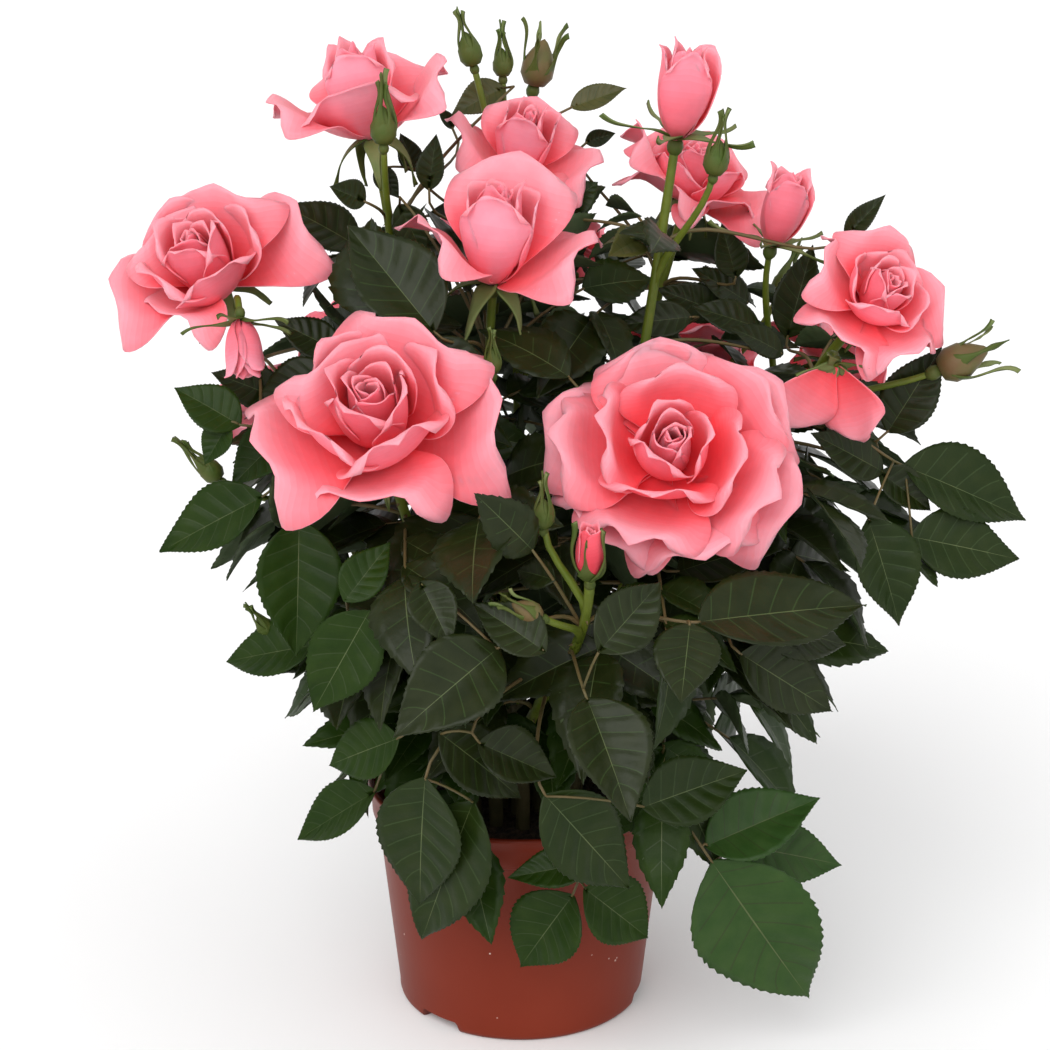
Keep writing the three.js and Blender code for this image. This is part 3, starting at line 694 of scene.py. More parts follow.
def petal_grid(style, lean, draw, columns=PETAL_COLUMNS, outline=petal_outline):
    """Points of a petal or sepal about the z axis, in the flower's radius. It's rolled round the
    axis, waves a little, lies over the next one like a spiral and curls back at its sides."""
    t, s = np.meshgrid(np.linspace(0, 1, PETAL_ROWS), np.linspace(1, -1, columns), indexing="ij")
    width, along = outline(style, t, s)
    half = style["width"] * width
    places, radii, heights, angles = centre_line(style, lean)
    rho = np.maximum(np.interp(along, places, radii), 0.035)
    rise = np.interp(along, places, heights)
    angle = np.interp(along, places, angles)
    rolled = style["wrap"] * rho + 0.015
    turn = MOST_TURN * np.tanh(s * half / rolled / MOST_TURN)
    inward = rolled * (1 - np.cos(turn))
    frequency, phase, tilt = draw(1.6, 2.8), draw(0, 6.28), draw(-0.5, 0.5)
    wave = PETAL["wave"][tightness(style)]
    inward += wave * style["length"] * t**2 * np.sin(frequency * s + phase)
    spiral = 0.2 - 0.05 * openness(style)
    inward += spiral * s * half * (1 - 0.5 * t)
    curl = 0.1 + 0.15 * style["angles"][-1] / 120
    inward -= curl * half * smooth(0.55, 1, np.abs(s)) * smooth(0.3, 0.9, t) * style["wrap"]
    rise = rise + 0.04 * style["length"] * tilt * s * t
    x = rho - inward * np.cos(angle)
    y = rolled * np.sin(turn)
    z = rise + inward * np.sin(angle)
    return np.stack((x, y, z), -1)


def shade_at(place, count):
    """The shade at a place from 0 to 1 in a row of shades."""
    return np.clip(np.round(place * (count - 1)), 0, count - 1).astype(int)


def add_petal(piece, bloom, style, length, direction, lean, draw):
    """Adds a petal of its whorl's style, its length a share of the whorl's. The shades run from the
    base to the lip, and start darker where the style's colour runs darker: partly the petal's own
    colour, partly painted shade of the bloom's hollow."""
    grid = petal_grid({**style, "length": style["length"] * length}, lean, draw)
    along = (np.arange(PETAL_ROWS - 1)[:, None] + 0.5) / (PETAL_ROWS - 1)
    tone = draw(-0.08, 0.08)
    # Darker colours near the base and in dark whorls: partly the petal's own colour, partly painted shade
    # of the bloom's hollow.
    deep_and_shaded = 0.5 * style["depth"]
    inner = shade_at(along * 1.15 - 0.05 - deep_and_shaded * (1 - along * 0.8) + tone, INNER_SHADES)
    back = shade_at(0.45 + 0.6 * along - deep_and_shaded + tone, BACK_SHADES)
    place_sheet(piece, bloom, grid, direction, inner, INNER_SHADES + back, LIP_SHADE)


def place_sheet(piece, bloom, grid, direction, *shades):
    """Turns a grid about the flower's axis and sets it on the flower's base."""
    across, other, facing = flower_axes(bloom)
    turn = math.radians(direction)
    x = grid[..., 0] * math.cos(turn) - grid[..., 1] * math.sin(turn)
    y = grid[..., 0] * math.sin(turn) + grid[..., 1] * math.cos(turn)
    placed = x[..., None] * across + y[..., None] * other + grid[..., 2:3] * facing
    add_sheet(piece, placed * bloom["size"] + bloom["at"], SHEET_THICKNESS, *shades)


def add_sepals(piece, bloom, draw):
    kind, count = bloom["kind"], SEPAL["count"]
    length, width, angles = SEPALS[kind]
    shape = {
        "leafy": LEAFY_TIP.get(kind, SEPAL["leafy"]),
        "narrowed": NARROWED.get(kind, SEPAL["narrowed"]),
    }
    for i in range(count):
        lean = draw(*SEPAL_LEAN.get(kind, SEPAL["lean"]))
        style = {**whorl(count, length * draw(0.85, 1.1), width, angles, SEPAL["wrap"], 0), **shape}
        grid = petal_grid(style, lean, draw, SEPAL_COLUMNS, sepal_outline)
        direction = 360 / count * (i + 0.5) + bloom["spin"]
        place_sheet(piece, bloom, grid, direction, SEPAL_BACK_SHADE, SEPAL_SHADE, SEPAL_SHADE)


def outer_petals(outer, bloom, draw):
    """Direction, opening and length of the outermost petals, where they aren't listed."""
    for i in range(outer["count"]):
        direction = bloom["spin"] + 40 + 360 / outer["count"] * i + draw(-8, 8)
        yield direction, draw(0.85, 1.1), draw(0.9, 1.08)


def add_flower(petals, greens, bloom, draw):
    kind, size, at, facing = (bloom[key] for key in ("kind", "size", "at", "facing"))
    for level, style in enumerate(FLOWERS.get(kind, ())):
        for i in range(style["count"]):
            even = bloom["spin"] + GOLDEN_ANGLE * level + 360 / style["count"] * i
            direction = even + draw(-9, 9)
            add_petal(petals, bloom, style, draw(0.95, 1.05), direction, 1, draw)
    if kind in OUTER:
        by_rule = list(outer_petals(OUTER[kind], bloom, draw))
        for direction, opening, length in bloom["outer"] or by_rule:
            add_petal(petals, bloom, OUTER[kind], length, direction, opening, draw)
    add_sepals(greens, bloom, draw)
    hip_size = max(size, HIP["least_size"])
    hip = scaled(HIP_PROFILE, HIP["radius"] * hip_size, HIP["height"] * hip_size)
    add_lathe(greens, hip, 10, SEPAL_SHADE, at, facing)
    if kind in CLOSED_BUDS:
        add_lathe(greens, scaled(BUD_PROFILE, size, size), 12, CLOSED_BUDS[kind], at, facing)


# ------------------ leaves
def blade_width(x):
    """Half width of a leaflet at x of its length, at most 1: round at the base, pointed at the tip."""
    return 3.94 * x**0.8 * (1 - x) ** 1.25


def blade_rows(blade):
    """Places of a leaflet's rows along its midrib: a thin row for each vein, and wider ones between."""
    between = np.linspace(LEAFLET["vein"], 1, blade["rows"])[:-1]
    cell = np.concatenate(([0], between))
    places = np.append((np.arange(blade["veins"])[:, None] + cell).ravel(), blade["veins"])
    return 0.01 + 0.988 * places / blade["veins"]


def leaflet_grid(blade, length, width, draw, droop):
    """Points of a leaflet along x, its face up: toothed edges, folded midrib, quilted by its veins.
    The rows of the grid run along the veins, which slant from the midrib to the tip."""
    places = blade_rows(blade)
    t, s = np.meshgrid(places**1.3, blade["columns"], indexing="ij")
    row = np.arange(len(places))[:, None]
    across = np.abs(s)
    swell = 4 * t * (1 - t)
    x = t + LEAFLET["slant"] * across * swell
    edge = across > 0.9
    tooth = edge & (row % 2 == 0)
    notch = LEAFLET["notch"] / len(places)
    outline = np.where(tooth, 1 + LEAFLET["tooth_out"] * notch, np.where(edge, 1 - notch, 1))
    y = s * width / 2 * blade_width(x) * outline
    x = np.minimum(x + np.where(tooth, LEAFLET["tooth_on"] / len(places), 0), 0.998)
    fold = draw(0.15, 0.5)
    wave, phase = draw(0.004, 0.02), draw(0, 6.28)
    z = fold * np.abs(y) - droop * x**2
    swelling = -np.cos(2 * math.pi * places * blade["veins"])[:, None]
    small = min(1, LEAFLET["quilted"] / length)
    z += LEAFLET["quilt"] * swelling * np.sin(math.pi * across) * swell * small
    z += wave * np.sin(9 * t + phase + s) * across**2
    z += draw(-0.2, 0.2) * y * x
    return np.stack((x, y, z), -1) * length


def leaflet_at(blade, base, heading, facing, length, width, draw, droop=(0.02, 0.3)):
    """A leaflet that starts at `base`, a little sunk into its stalk, and faces about `facing`."""
    grid = leaflet_grid(blade, length, width, draw, draw(*droop))
    side = unit(np.cross(facing, heading))
    out = np.cross(heading, side)
    sunk = base - heading * LEAFLET["sunk"]
    return grid[..., :1] * heading + grid[..., 1:2] * side + grid[..., 2:3] * out + sunk


class Space:
    """What stands where: sample points of what has grown, with air round each, and the places in
    front of flowers and of the leaves that stand out, which stay open."""

    def __init__(self):
        self.points = np.zeros((0, 3))
        self.radii = np.zeros(0)
        self.owners = np.zeros(0, int)
        self.clearings = []

    def take(self, points, radius, owner):
        points = points.reshape(-1, 3)
        self.points = np.concatenate((self.points, points))
        self.radii = np.concatenate((self.radii, np.full(len(points), radius)))
        self.owners = np.concatenate((self.owners, np.full(len(points), owner)))

    def clear(self, at, axis, radius, top, slope=0.0, base=-1.5):
        """Keeps a round space along an axis open, from a cone of that slope up to a height."""
        self.clearings.append((at, axis, radius, top, slope, base))

    def clear_flower(self, bloom):
        kind, size, at, facing = (bloom[key] for key in ("kind", "size", "at", "facing"))
        if kind in BUDS:
            radius, top = OPEN_PLACES["bud"]
            self.clear(at, facing, size * radius + 1, size * top)
            return
        radius, top = OPEN_PLACES["bloom"]
        self.clear(at, facing, size * radius, size * top, BLOOM_SLOPE[kind])
        if facing @ VIEW_AXIS > 0.3:
            lift, radius, reach = OPEN_PLACES["view"]
            self.clear(at + facing * size * lift, VIEW_AXIS, size * radius, reach)

    def in_clearing(self, points):
        for at, axis, radius, top, slope, base in self.clearings:
            rel = points - at
            height = rel @ axis
            radial = np.linalg.norm(rel - height[:, None] * axis, axis=1)
            if ((height > radial * slope + base) & (height < top) & (radial < radius)).any():
                return True
        return False

    def hits(self, points, own_radius, owner):
        """Whether points with air of that radius come into a clearing, the pot, the floor or the air
        round what others have grown."""
        if self.in_clearing(points):
            return True
        radial = np.hypot(points[:, 0], points[:, 1])
        if ((points[:, 2] < POT["height"] + 1) & (radial < POT["rim"] + 2)).any():
            return True
        if (points[:, 2] < LOWEST_LEAF).any():
            return True
        middle = (points.min(0) + points.max(0)) / 2
        reach = (points.max(0) - points.min(0)) / 2 + LOOK_ROUND
        near = (np.abs(self.points - middle) < reach).all(1) & (self.owners != owner)
        if not near.any():
            return False
        gaps = np.linalg.norm(points[:, None] - self.points[near][None], axis=2)
        return bool((gaps < self.radii[near][None] + own_radius).any())


def leaf_points(grid):
    """Points of a leaflet that stand for it where room is asked for: midrib, middle and edges."""
    rows = np.linspace(1, grid.shape[0] - 1, 11).round().astype(int)
    columns = np.linspace(0, grid.shape[1] - 1, 5).round().astype(int)
    return grid[rows][:, columns].reshape(-1, 3)


def leaf_targets(draw):
    """Where leaf tips are to reach: the frame's tiers, with more leaves, and shells inside them."""
    targets = []
    for share, amount in ((1.0, 1.0), *INNER_SHELLS):
        for level, (height, radius, leaves, length, above) in enumerate(TIERS):
            if share < 1 and height < INNER_FLOOR:
                continue
            count = round(leaves * FINER[level] * amount)
            for i in range(count):
                even = 360 / count * (i + 0.5 * (level % 2)) + 20 * level
                azimuth = math.radians(even + JITTER["azimuth"] * draw(-1, 1))
                lean = 1 + LEAN["right"] * math.cos(azimuth) + LEAN["back"] * math.sin(azimuth)
                reach = radius * share * lean * draw(0.9, 1.0)
                level_height = height + JITTER["height"] * draw(-1.4, 1.4)
                tip = np.array((math.cos(azimuth) * reach, math.sin(azimuth) * reach, level_height))
                targets.append((tip, length * draw(0.8, 1.0), above, 2 if share == 1 else 1))
    return targets


def starts_for(tip, length, above, masses, gain=START["gain"]):
    """Where a leaf may start to reach `tip` at its own length: the best place on each stem."""
    outward = unit(tip * (1, 1, 0))
    shares = (np.arange(START["places"]) + 1) * START["step"]
    best = []
    for mass in masses:
        points = mass["stem"].at(shares)
        crowd = np.array([sum(abs(u - share) < START["step"] for u in mass["used"]) for share in shares])
        cost = (
            np.abs(np.linalg.norm(points - tip, axis=1) - length)
            + START["level"] * np.abs(points[:, 2] - tip[2] - above)
            + np.maximum(0, gain - (tip - points) @ outward)
            + START["crowd"] * crowd
            + START["load"] * len(mass["used"])
        )
        at = int(np.argmin(cost))
        best.append((cost[at], mass, shares[at]))
    best.sort(key=lambda choice: choice[0])
    return best[: START["tries"]]


def grow_leaf(mass, share, tip, size, pairs, draw, space, owner):
    """Grows one compound leaf of that size, without the leaflets that would touch something. Gives
    False where its stalk or its end leaflet would."""
    start = mass["stem"].at(share)
    reach = np.linalg.norm(tip - start)
    size = min(max(size, LEAFY_SHARE * reach), reach)
    middle = (start + tip) / 2 + UP * reach * draw(0.12, 0.26)
    arch = Curve(start, middle, tip)
    outward = unit(tip * (1, 1, 0))
    facing = UP * draw(0.3, 1.0) + outward * draw(0.3, 0.9)
    facing = unit(facing + np.cross(UP, outward) * draw(-0.45, 0.45))
    bare = 1 - size * (1 - RACHIS["share"]) / reach
    spine = arch.spread(8, 0, bare)
    if space.hits(spine[2:], AIR["twig"], mass["id"]):
        return False
    end = spine[-1]
    leaflets = [(end, unit(tip - end), np.linalg.norm(tip - end))]
    forward, sag = draw(0.3, 0.9), draw(0.0, 0.45)
    for back, part in LEAFLET["pairs"][:pairs]:
        at = bare - back * size / reach
        for hand in (-1, 1):
            along = arch.heading(at)
            across = unit(np.cross(along, UP))
            way = unit(along * forward + across * hand - UP * sag)
            leaflets.append((arch.at(at + hand * 0.012), way, size * part * draw(0.85, 1.08)))
    grown = []
    width = LEAFLET["width"] * draw(0.86, 1.12)
    for i, (base, way, length) in enumerate(leaflets):
        tilt = unit(facing + any_way(draw) * 0.32)
        grid = leaflet_at(SPRAY_BLADE, base, way, tilt, length, width, draw)
        if not space.hits(leaf_points(grid), AIR["leaf"], owner):
            grown.append(grid)
        elif i == 0:
            return False
    shade = leaf_shade(tip, draw)
    for grid in grown:
        add_leaflet(mass, grid, SPRAY_BLADE, shade, space, owner)
    add_leaf_stalk(mass, spine, RACHIS["base"], space, owner)
    mass["used"].append(share)
    return True


def add_leaf_stalk(mass, spine, base, space, owner):
    space.take(spine[2:], AIR["twig"], owner)
    radii = np.linspace(base, RACHIS["tip"], len(spine))
    add_tube(mass["stems"], spine, radii, RACHIS["sides"], PETIOLE_SHADE)


def grow_shown(shade, leaflets, masses, draw, space, owner):
    """Grows a leaf that stands out: its stalk reaches the first leaflet from the nearest stem, and
    twigs go on from it to the others."""
    base, tip = (np.array(place, float) for place in leaflets[0][:2])
    _, mass, share = starts_for(base, STALK_LENGTH, 5, masses, gain=0)[0]
    start = mass["stem"].at(share)
    lead = np.linalg.norm(base - start)
    leaving = start + (UP * 0.3 + unit(base - start) * 0.2) * lead
    spine = Curve(start, leaving, base - unit(tip - base) * 0.3 * lead, base).spread(12)
    add_leaf_stalk(mass, spine, RACHIS["base"] * 1.1, space, owner)
    for place, end, width in leaflets:
        base, tip = np.array(place, float), np.array(end, float)
        nearest = spine[np.argmin(np.linalg.norm(spine[3:] - base, axis=1)) + 3]
        if np.linalg.norm(nearest - base) > 1:
            twig = Curve(nearest, (nearest + base) / 2 + UP * 2, base).spread(6)
            add_tube(mass["stems"], twig, np.full(6, RACHIS["tip"]), 5, PETIOLE_SHADE)
        way, length = unit(tip - base), np.linalg.norm(tip - base)
        facing = unit(np.array(SHOWN_FACING) + any_way(draw) * 0.25)
        grid = leaflet_at(SHOWN_BLADE, base, way, facing, length, width, draw, SHOWN_DROOP)
        add_leaflet(mass, grid, SHOWN_BLADE, shade, space, owner)
        space.clear((base + tip) / 2, VIEW_AXIS, length * 0.3, 90, base=2.0)
    mass["used"].append(share)


def add_leaflet(mass, grid, blade, shade, space, owner):
    """Adds a leaflet, with other shades on its veins, its midrib and its underside. It thins where
    it narrows, so that its faces don't cross at the tip."""
    rows, columns = grid.shape[0] - 1, grid.shape[1] - 1
    shades = np.full((rows, columns), shade)
    shades[blade["rows"] : -blade["rows"] : blade["rows"], 1:-1] = VEIN_SHADE
    shades[:, columns // 2] = RIB_SHADE
    half_widths = np.linalg.norm(grid[:, 0] - grid[:, -1], axis=1)[:, None, None] / 2
    least, more, most = LEAFLET["thickness"]
    thickness = np.minimum(most, least + more * half_widths)
    add_sheet(mass["leaves"], grid, thickness, shades, UNDER_SHADE, shade)
    space.take(leaf_points(grid), AIR["leaf"], owner)


def leaf_shade(tip, draw):
    """Dark leaves in the crown, fresher ones low down, and young olive ones near the top."""
    chance = draw()
    if tip[2] < FRESH_BELOW:
        return FRESH if chance < 0.65 else MID
    if tip[2] > OLIVE_ABOVE:
        return OLIVE if chance < 0.15 else (DARK if chance < 0.75 else MID)
    return DARK if chance < 0.65 else MID


# ------------------ stems
STEM_SHADE, PETIOLE_SHADE, BARK_SHADE = range(3)
# How far apart thorns stand, the radius of their stem, and places along a thorn with radii at them.
THORN = {"apart": 16, "stem_radius": 1.8, "places": (0, 0.35, 0.7, 1), "radii": (0.9, 0.5, 0.24, 0.06)}


def add_stem(piece, curve, base, tip, sides, draw, shade):
    """A stem with a slight swelling at each leaf joint."""
    shares = np.linspace(0, 1, max(6, round(curve.length / 6)))
    radii = base + (tip - base) * shares
    radii *= 1 + 0.12 * np.maximum(0, np.sin(shares * curve.length / 9)) ** 6
    add_tube(piece, curve.at(shares), radii, sides, shade, 0.03, draw)


def add_thorns(piece, curve, draw):
    for share in np.arange(0.12, 0.9, THORN["apart"] / max(curve.length, 1)):
        heading = curve.heading(share)
        out = unit(np.cross(heading, any_way(draw)))
        base = curve.at(share) + out * THORN["stem_radius"] * 0.6
        length = draw(1.4, 2.4)
        hooked = heading * length * 0.35
        spine = np.stack([base + out * length * u - hooked * u * u for u in THORN["places"]])
        add_tube(piece, spine, THORN["radii"], 5, PETIOLE_SHADE)


# ------------------ materials
def set_inputs(node, **values):
    for socket, value in values.items():
        node.inputs[socket.replace("_", " ")].default_value = value
    return node


def principled(name, color, roughness, **sockets):
    """A material of one colour, and its shader."""
    material = bpy.data.materials.new(name)
    material.use_nodes = True
    shader = material.node_tree.nodes["Principled BSDF"]
    set_inputs(shader, Base_Color=(*color, 1), Roughness=roughness, **sockets)
    return material, shader


def add_noise(tree, scale, detail, stretch=None):
    """A noise fixed to the object, which may be stretched."""
    where = tree.nodes.new("ShaderNodeTexCoord").outputs["Object"]
    if stretch:
        mapping = set_inputs(tree.nodes.new("ShaderNodeMapping"), Scale=stretch)
        tree.links.new(where, mapping.inputs["Vector"])
        where = mapping.outputs["Vector"]
    noise = set_inputs(tree.nodes.new("ShaderNodeTexNoise"), Scale=scale, Detail=detail)
    tree.links.new(where, noise.inputs["Vector"])
    return noise.outputs["Fac"]


def speckle(shader, colors, scale, places=(0.35, 0.7), detail=4):
    """Mixes two near colours by a fine noise."""
    tree = shader.id_data
    ramp = tree.nodes.new("ShaderNodeValToRGB")
    for stop, place, color in zip(ramp.color_ramp.elements, places, colors):
        stop.position = place
        stop.color = (*color, 1)
    tree.links.new(add_noise(tree, scale, detail), ramp.inputs["Fac"])
    tree.links.new(ramp.outputs["Color"], shader.inputs["Base Color"])


def bumped(shader, scale, strength, distance, stretch=None):
    """Roughens a surface by a fine noise."""
    tree = shader.id_data
    bump = set_inputs(tree.nodes.new("ShaderNodeBump"), Strength=strength, Distance=distance)
    tree.links.new(add_noise(tree, scale, 3, stretch), bump.inputs["Height"])
    tree.links.new(bump.outputs["Normal"], shader.inputs["Normal"])


def shifted(color, amount):
    return tuple(min(1.0, c * amount) for c in color)


def between(low, high, u):
    return tuple(a + (b - a) * u for a, b in zip(low, high))


def petal_materials():
    """Shades from the base to the lip: first the inner face's, then the back's."""
    materials = []
    for side, count, stops in (
        ("petal_inner", INNER_SHADES, PETAL_INNER),
        ("petal_back", BACK_SHADES, PETAL_BACK),
    ):
        for i in range(count):
            u = i / (count - 1) * (len(stops) - 1)
            k = min(int(u), len(stops) - 2)
            color = between(stops[k], stops[k + 1], u - k)
            material, shader = principled(f"{side}_{i}", color, 0.55, **PETAL_SURFACE)
            speckle(shader, (shifted(color, 0.95), shifted(color, 1.04)), 160)
            bumped(shader, 420, 0.12, 0.0004)
            materials.append(material)
    return materials


def plain_materials(table, bump_scale, bump):
    """A material for each row of (name, colour, near colour, roughness, specular level)."""
    materials = []
    for name, color, other, roughness, gloss in table:
        material, shader = principled(name, color, roughness, Specular_IOR_Level=gloss)
        speckle(shader, (color, other), 110)
        bumped(shader, bump_scale, bump, 0.0005)
        materials.append(material)
    return materials


# Colours from the base to the lip. The dark ones at the base are partly the petal's own colour and partly
# painted shade.
PETAL_INNER = (
    (0.92, 0.06, 0.08),
    (0.92, 0.105, 0.13),
    (0.90, 0.16, 0.20),
    (0.88, 0.225, 0.275),
    (0.88, 0.31, 0.37),
)
# The back's colours from the base to the lip; the dark ones at the base are partly its own colour and
# partly painted shade.
PETAL_BACK = ((0.66, 0.04, 0.065), (0.86, 0.105, 0.145), (0.90, 0.18, 0.24), (0.91, 0.34, 0.43))
PETAL_SURFACE = {
    "Specular_IOR_Level": 0.3,
    "Sheen_Weight": 0.06,
    "Subsurface_Weight": 0.45,
    "Subsurface_Scale": 0.002,
    "Subsurface_Radius": (1.0, 0.3, 0.3),
}
GREENS = (
    ("sepal_green", (0.052, 0.085, 0.013), (0.085, 0.095, 0.022), 0.5, 0.2),
    ("sepal_pale", (0.12, 0.165, 0.05), (0.18, 0.195, 0.075), 0.6, 0.2),
    ("bud_brown", (0.13, 0.075, 0.030), (0.10, 0.10, 0.030), 0.55, 0.3),
)
LEAVES = (
    ("leaf_dark", (0.010, 0.0155, 0.0025), (0.016, 0.022, 0.0045), 0.36, 0.18),
    ("leaf_mid", (0.010, 0.021, 0.002), (0.016, 0.027, 0.004), 0.38, 0.15),
    ("leaf_fresh", (0.011, 0.028, 0.002), (0.018, 0.037, 0.004), 0.40, 0.12),
    ("leaf_young", (0.040, 0.044, 0.008), (0.066, 0.062, 0.013), 0.42, 0.25),
    ("leaf_light", (0.020, 0.052, 0.009), (0.030, 0.064, 0.013), 0.42, 0.16),
    ("leaf_rib", (0.055, 0.080, 0.024), (0.080, 0.100, 0.034), 0.5, 0.3),
    ("leaf_underside", (0.040, 0.062, 0.024), (0.055, 0.078, 0.034), 0.65, 0.2),
    ("leaf_vein", (0.019, 0.036, 0.007), (0.026, 0.045, 0.010), 0.42, 0.2),
)
STEMS = (
    ("stem_green", (0.080, 0.115, 0.008), (0.12, 0.15, 0.014), 0.45, 0.3),
    ("stem_reddish", (0.085, 0.07, 0.022), (0.13, 0.085, 0.032), 0.5, 0.35),
    ("cane_bark", (0.06, 0.055, 0.02), (0.10, 0.08, 0.035), 0.65, 0.3),
)


def pot_material():
    material, shader = principled("pot_plastic", (0.165, 0.026, 0.010), 0.42, Specular_IOR_Level=0.18)
    speckle(shader, ((0.145, 0.015, 0.004), (0.185, 0.023, 0.008)), 14, (0.3, 0.75), 6)
    bumped(shader, 260, 0.12, 0.0004, (1, 1, 0.4))
    return material


def fleck_material():
    material, shader = principled("fleck_pale", (0.5, 0.33, 0.28), 0.7)
    speckle(shader, ((0.45, 0.28, 0.23), (0.6, 0.45, 0.4)), 900)
    return material


def peat_material():
    material, shader = principled("peat", (0.03, 0.018, 0.011), 0.95)
    speckle(shader, ((0.016, 0.010, 0.007), (0.075, 0.045, 0.028)), 380, (0.4, 0.65))
    bumped(shader, 500, 0.9, 0.0015)
    return material


# ------------------ pot and peat
# The pot's straight wall starts at this height, and is this much lower than the rim's lower edge.
BODY_BASE = 4.6
BODY_SHORT = 5.2
# Specks of grit on the pot: how many, how low and how near the band, and a speck's profile.
BEADS = {"count": 26, "lowest": 8, "below_lip": 4}
BEAD_PROFILE = ((0, -0.2), (0.8, 0.1), (1, 0.5), (0.6, 0.9), (0, 1))


def arc(center, radius, *degrees):
    """Points on an arc in a profile, at angles from the level way out."""
    return [
        (center[0] + radius * math.cos(a), center[1] + radius * math.sin(a)) for a in np.radians(degrees)
    ]


def pot_profile():
    """From the underside out, up the wall, round the rim and down the inside to the floor."""
    foot, neck, rim, wall = POT["foot"], POT["neck"], POT["rim"], POT["wall"]
    bevel, rounding = POT["foot_bevel"], POT["rim_rounding"]
    top, lip = POT["height"], POT["height"] - POT["rim_height"]
    inner = NOTCH["inner"]
    # the foot's outer part stands a hair higher, which is how notched() knows it
    underside = [(0, 0), (20, 0), (inner - 0.1, 0)]
    underside += [(radius, 0.01) for radius in (inner + 0.1, 44, foot - bevel)]
    edge = arc((foot - bevel, bevel), bevel, -60, -30, 0)
    body = [
        (foot + (neck - foot) * u, BODY_BASE + (lip - BODY_SHORT) * u) for u in (0, 0.25, 0.5, 0.75, 1)
    ]
    step = [(neck + 0.3, lip - 0.1), (rim - wall - 0.5, lip - 0.1), (rim - wall, lip + 0.5)]
    band = [
        (rim - wall + 0.5 * u, lip + 0.5 + (POT["rim_height"] - 2.2) * u) for u in (0.3, 0.6, 0.9)
    ]
    round_rim = arc((rim - rounding, top - rounding), rounding, -10, 20, 50, 90, 130, 170)
    inside = [(rim - 3.0, lip + 2), (neck - wall, lip - wall)]
    inside += [(radius, POT["floor"]) for radius in (foot - wall, 0)]
    return underside + edge + body + step + band + round_rim + inside


def notched(radii, heights, angles):
    """Lifts the foot's edge where a drainage notch is."""
    low = (heights > 0) & (heights < NOTCH["height"]) & (radii > NOTCH["inner"])
    half = NOTCH["width"] / 2 / POT["foot"]
    for azimuth in NOTCH["azimuths"]:
        off = np.abs((angles - math.radians(azimuth) + math.pi) % (2 * math.pi) - math.pi)
        heights = np.where(low & (off < half)[None], NOTCH["height"], heights)
    return heights


def make_pot(draw):
    pot = Piece("pot_shell")
    add_lathe(pot, pot_profile(), 180, 0, lift=notched)
    lip = POT["height"] - POT["rim_height"]
    for _ in range(BEADS["count"]):
        azimuth = draw(0, 2 * math.pi)
        height = draw(BEADS["lowest"], lip - BEADS["below_lip"])
        up_wall = (height - BODY_BASE) / (lip - BODY_SHORT)
        radius = POT["foot"] + (POT["neck"] - POT["foot"]) * up_wall - 0.1
        out = np.array((math.cos(azimuth), math.sin(azimuth), 0))
        size = draw(0.18, 0.5)
        add_lathe(pot, scaled(BEAD_PROFILE, size, size / 2), 7, 1, out * radius + UP * height, out)
    pot.build([pot_material(), fleck_material()], "pot", "pot")


def make_peat(draw):
    peat = Piece("peat_surface")
    rim = POT["neck"] - POT["wall"] - 0.8
    profile = [(0, 8), (46.0, 8), (rim - 0.6, SOIL_TOP - 5)]
    profile += [(rim * u, SOIL_TOP - 1.2 - 2.2 * u**4) for u in np.linspace(1, 0.04, 34)]
    profile.append((0, SOIL_TOP - 1))

    def rough(radii, heights, angles):
        bumps = np.array([[draw(-0.9, 0.7) for _ in angles] for _ in radii])
        return heights + np.where(heights > SOIL_TOP - 4, bumps, 0)

    add_lathe(peat, profile, 96, 0, lift=rough)
    peat.build([peat_material()], "peat", "soil")


# ------------------ the plant
# The pieces that replace a mass of foliage, each with the name of a slot, which Piece.build() is given
# but doesn't use.
MASS_PARTS = {"leaves": "foliage", "stems": "cane", "petals": "petals", "sepals": "foliage"}


def start_mass(number, plan, canes, draw, space):
    """Grows a shoot's cane, stem, stalks and flowers, and gives the mass that leaves can join."""
    cane = cane_curve(plan)
    add_stem(canes, cane, CANE["foot"], CANE["tip"], 10, draw, BARK_SHADE)
    space.take(cane.spread(12), AIR["cane"], number)
    stem = stalk_curve(cane.at(1), cane.heading(1), plan["flower"])
    mass = {"id": number, "name": plan["name"], "stem": stem, "used": []}
    for part in MASS_PARTS:
        mass[part] = Piece(f"{part}_{plan['name']}")
    add_stem(mass["stems"], stem, CANE["tip"], STEM_TIP, 9, draw, STEM_SHADE)
    add_thorns(mass["stems"], stem, draw)
    space.take(stem.spread(40, 0, 0.97), AIR["stem"], number)
    blooms = [plan["flower"]]
    for share, bloom in plan["side"]:
        stalk = stalk_curve(stem.at(share), stem.heading(share), bloom)
        add_stem(mass["stems"], stalk, *STALK, 7, draw, STEM_SHADE)
        space.take(stalk.spread(20, 0.1, 0.97), AIR["stalk"], number)
        blooms.append(bloom)
    flower_draw = random_from(SEED["flowers"] + number)
    for bloom in blooms:
        add_flower(mass["petals"], mass["sepals"], bloom, flower_draw)
        space.clear_flower(bloom)
    return mass


def grow_leaves(masses, targets, space):
    """Grows the leaves that stand out, then those of the tiers. Each has its own random numbers, so
    that a new leaf doesn't change the others."""
    owner = len(masses)
    for shade, *leaflets in SHOWN:
        grow_shown(shade, leaflets, masses, random_from(SEED["leaves"] + owner), space, owner)
        owner += 1
    for tip, length, above, pairs in targets:
        draw = random_from(SEED["leaves"] + owner)
        for _, mass, share in starts_for(tip, length, above, masses):
            if grow_leaf(mass, share, tip, length, pairs, draw, space, owner):
                break
        owner += 1


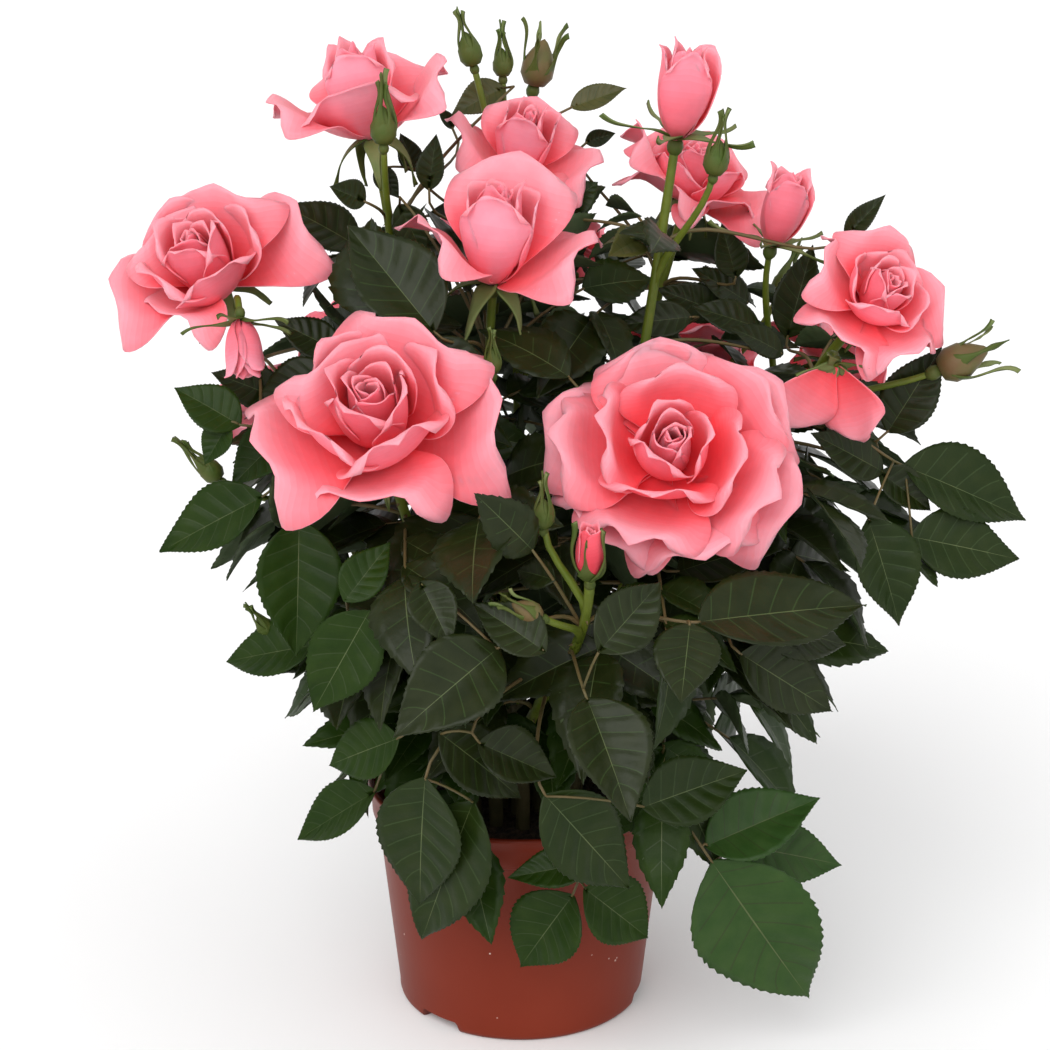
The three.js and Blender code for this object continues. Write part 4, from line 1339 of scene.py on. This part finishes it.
def make_plant():
    draw = random_from(SEED["plant"])
    space = Space()
    canes = Piece("canes")
    kinds = {
        "petals": petal_materials(),
        "leaves": plain_materials(LEAVES, 330, 0.3),
        "stems": plain_materials(STEMS, 500, 0.35),
        "sepals": plain_materials(GREENS, 600, 0.25),
    }
    masses = [start_mass(number, plan, canes, draw, space) for number, plan in enumerate(SHOOTS)]
    grow_leaves(masses, leaf_targets(draw), space)
    canes.build(kinds["stems"], "cane", *(f"cane_{mass['name']}" for mass in masses))
    for mass in masses:
        for part, slot in MASS_PARTS.items():
            if mass[part].count:
                mass[part].build(kinds[part], slot, f"foliage_{mass['name']}")


# ------------------ camera, floor and light
# The camera's place in mm, how far down it looks and its field of view, in degrees.
VIEW = {"place": (1.6, -1064.7, 583.3), "down": 20, "field": 20}
FLOOR_HALF = 40.0  # metres
WORLD_LIGHT = 0.78


def make_camera():
    data = bpy.data.cameras.new("camera")
    data.lens_unit = "FOV"
    data.angle = math.radians(VIEW["field"])
    data.clip_end = 100
    camera = bpy.data.objects.new("camera", data)
    camera.location = [v * MM for v in VIEW["place"]]
    camera.rotation_euler = (math.radians(90 - VIEW["down"]), 0, 0)
    bpy.context.scene.collection.objects.link(camera)
    bpy.context.scene.camera = camera


def make_floor():
    mesh = bpy.data.meshes.new("floor")
    h = FLOOR_HALF
    mesh.from_pydata([(-h, -h, 0), (h, -h, 0), (h, h, 0), (-h, h, 0)], [], [(0, 1, 2, 3)])
    floor = bpy.data.objects.new("floor", mesh)
    bpy.context.scene.collection.objects.link(floor)
    material, _ = principled("floor_pale", (0.93, 0.93, 0.93), 0.9)
    mesh.materials.append(material)
    floor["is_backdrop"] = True


def make_sun(name, toward, strength, spread):
    """A broad soft light from the direction `toward`."""
    data = bpy.data.lights.new(name, "SUN")
    data.energy = strength
    data.angle = math.radians(spread)
    light = bpy.data.objects.new(name, data)
    light.rotation_euler = Vector(toward).to_track_quat("Z", "Y").to_euler()
    bpy.context.scene.collection.objects.link(light)


def make_studio():
    make_camera()
    make_floor()
    make_sun("key", (-0.4, -0.9, 0.8), 1.85, 50)
    make_sun("fill", (0.7, -0.8, 0.5), 0.65, 70)
    world = bpy.data.worlds.new("studio")
    world.use_nodes = True
    background = world.node_tree.nodes["Background"]
    set_inputs(background, Color=(1, 1, 1, 1), Strength=WORLD_LIGHT)
    scene = bpy.context.scene
    scene.world = world
    scene.view_settings.view_transform = "Standard"


make_studio()
make_pot(random_from(SEED["pot"]))
make_peat(random_from(SEED["peat"]))
make_plant()

[[list(map(float, corner)) for corner in box] for box in (cad_box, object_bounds())]
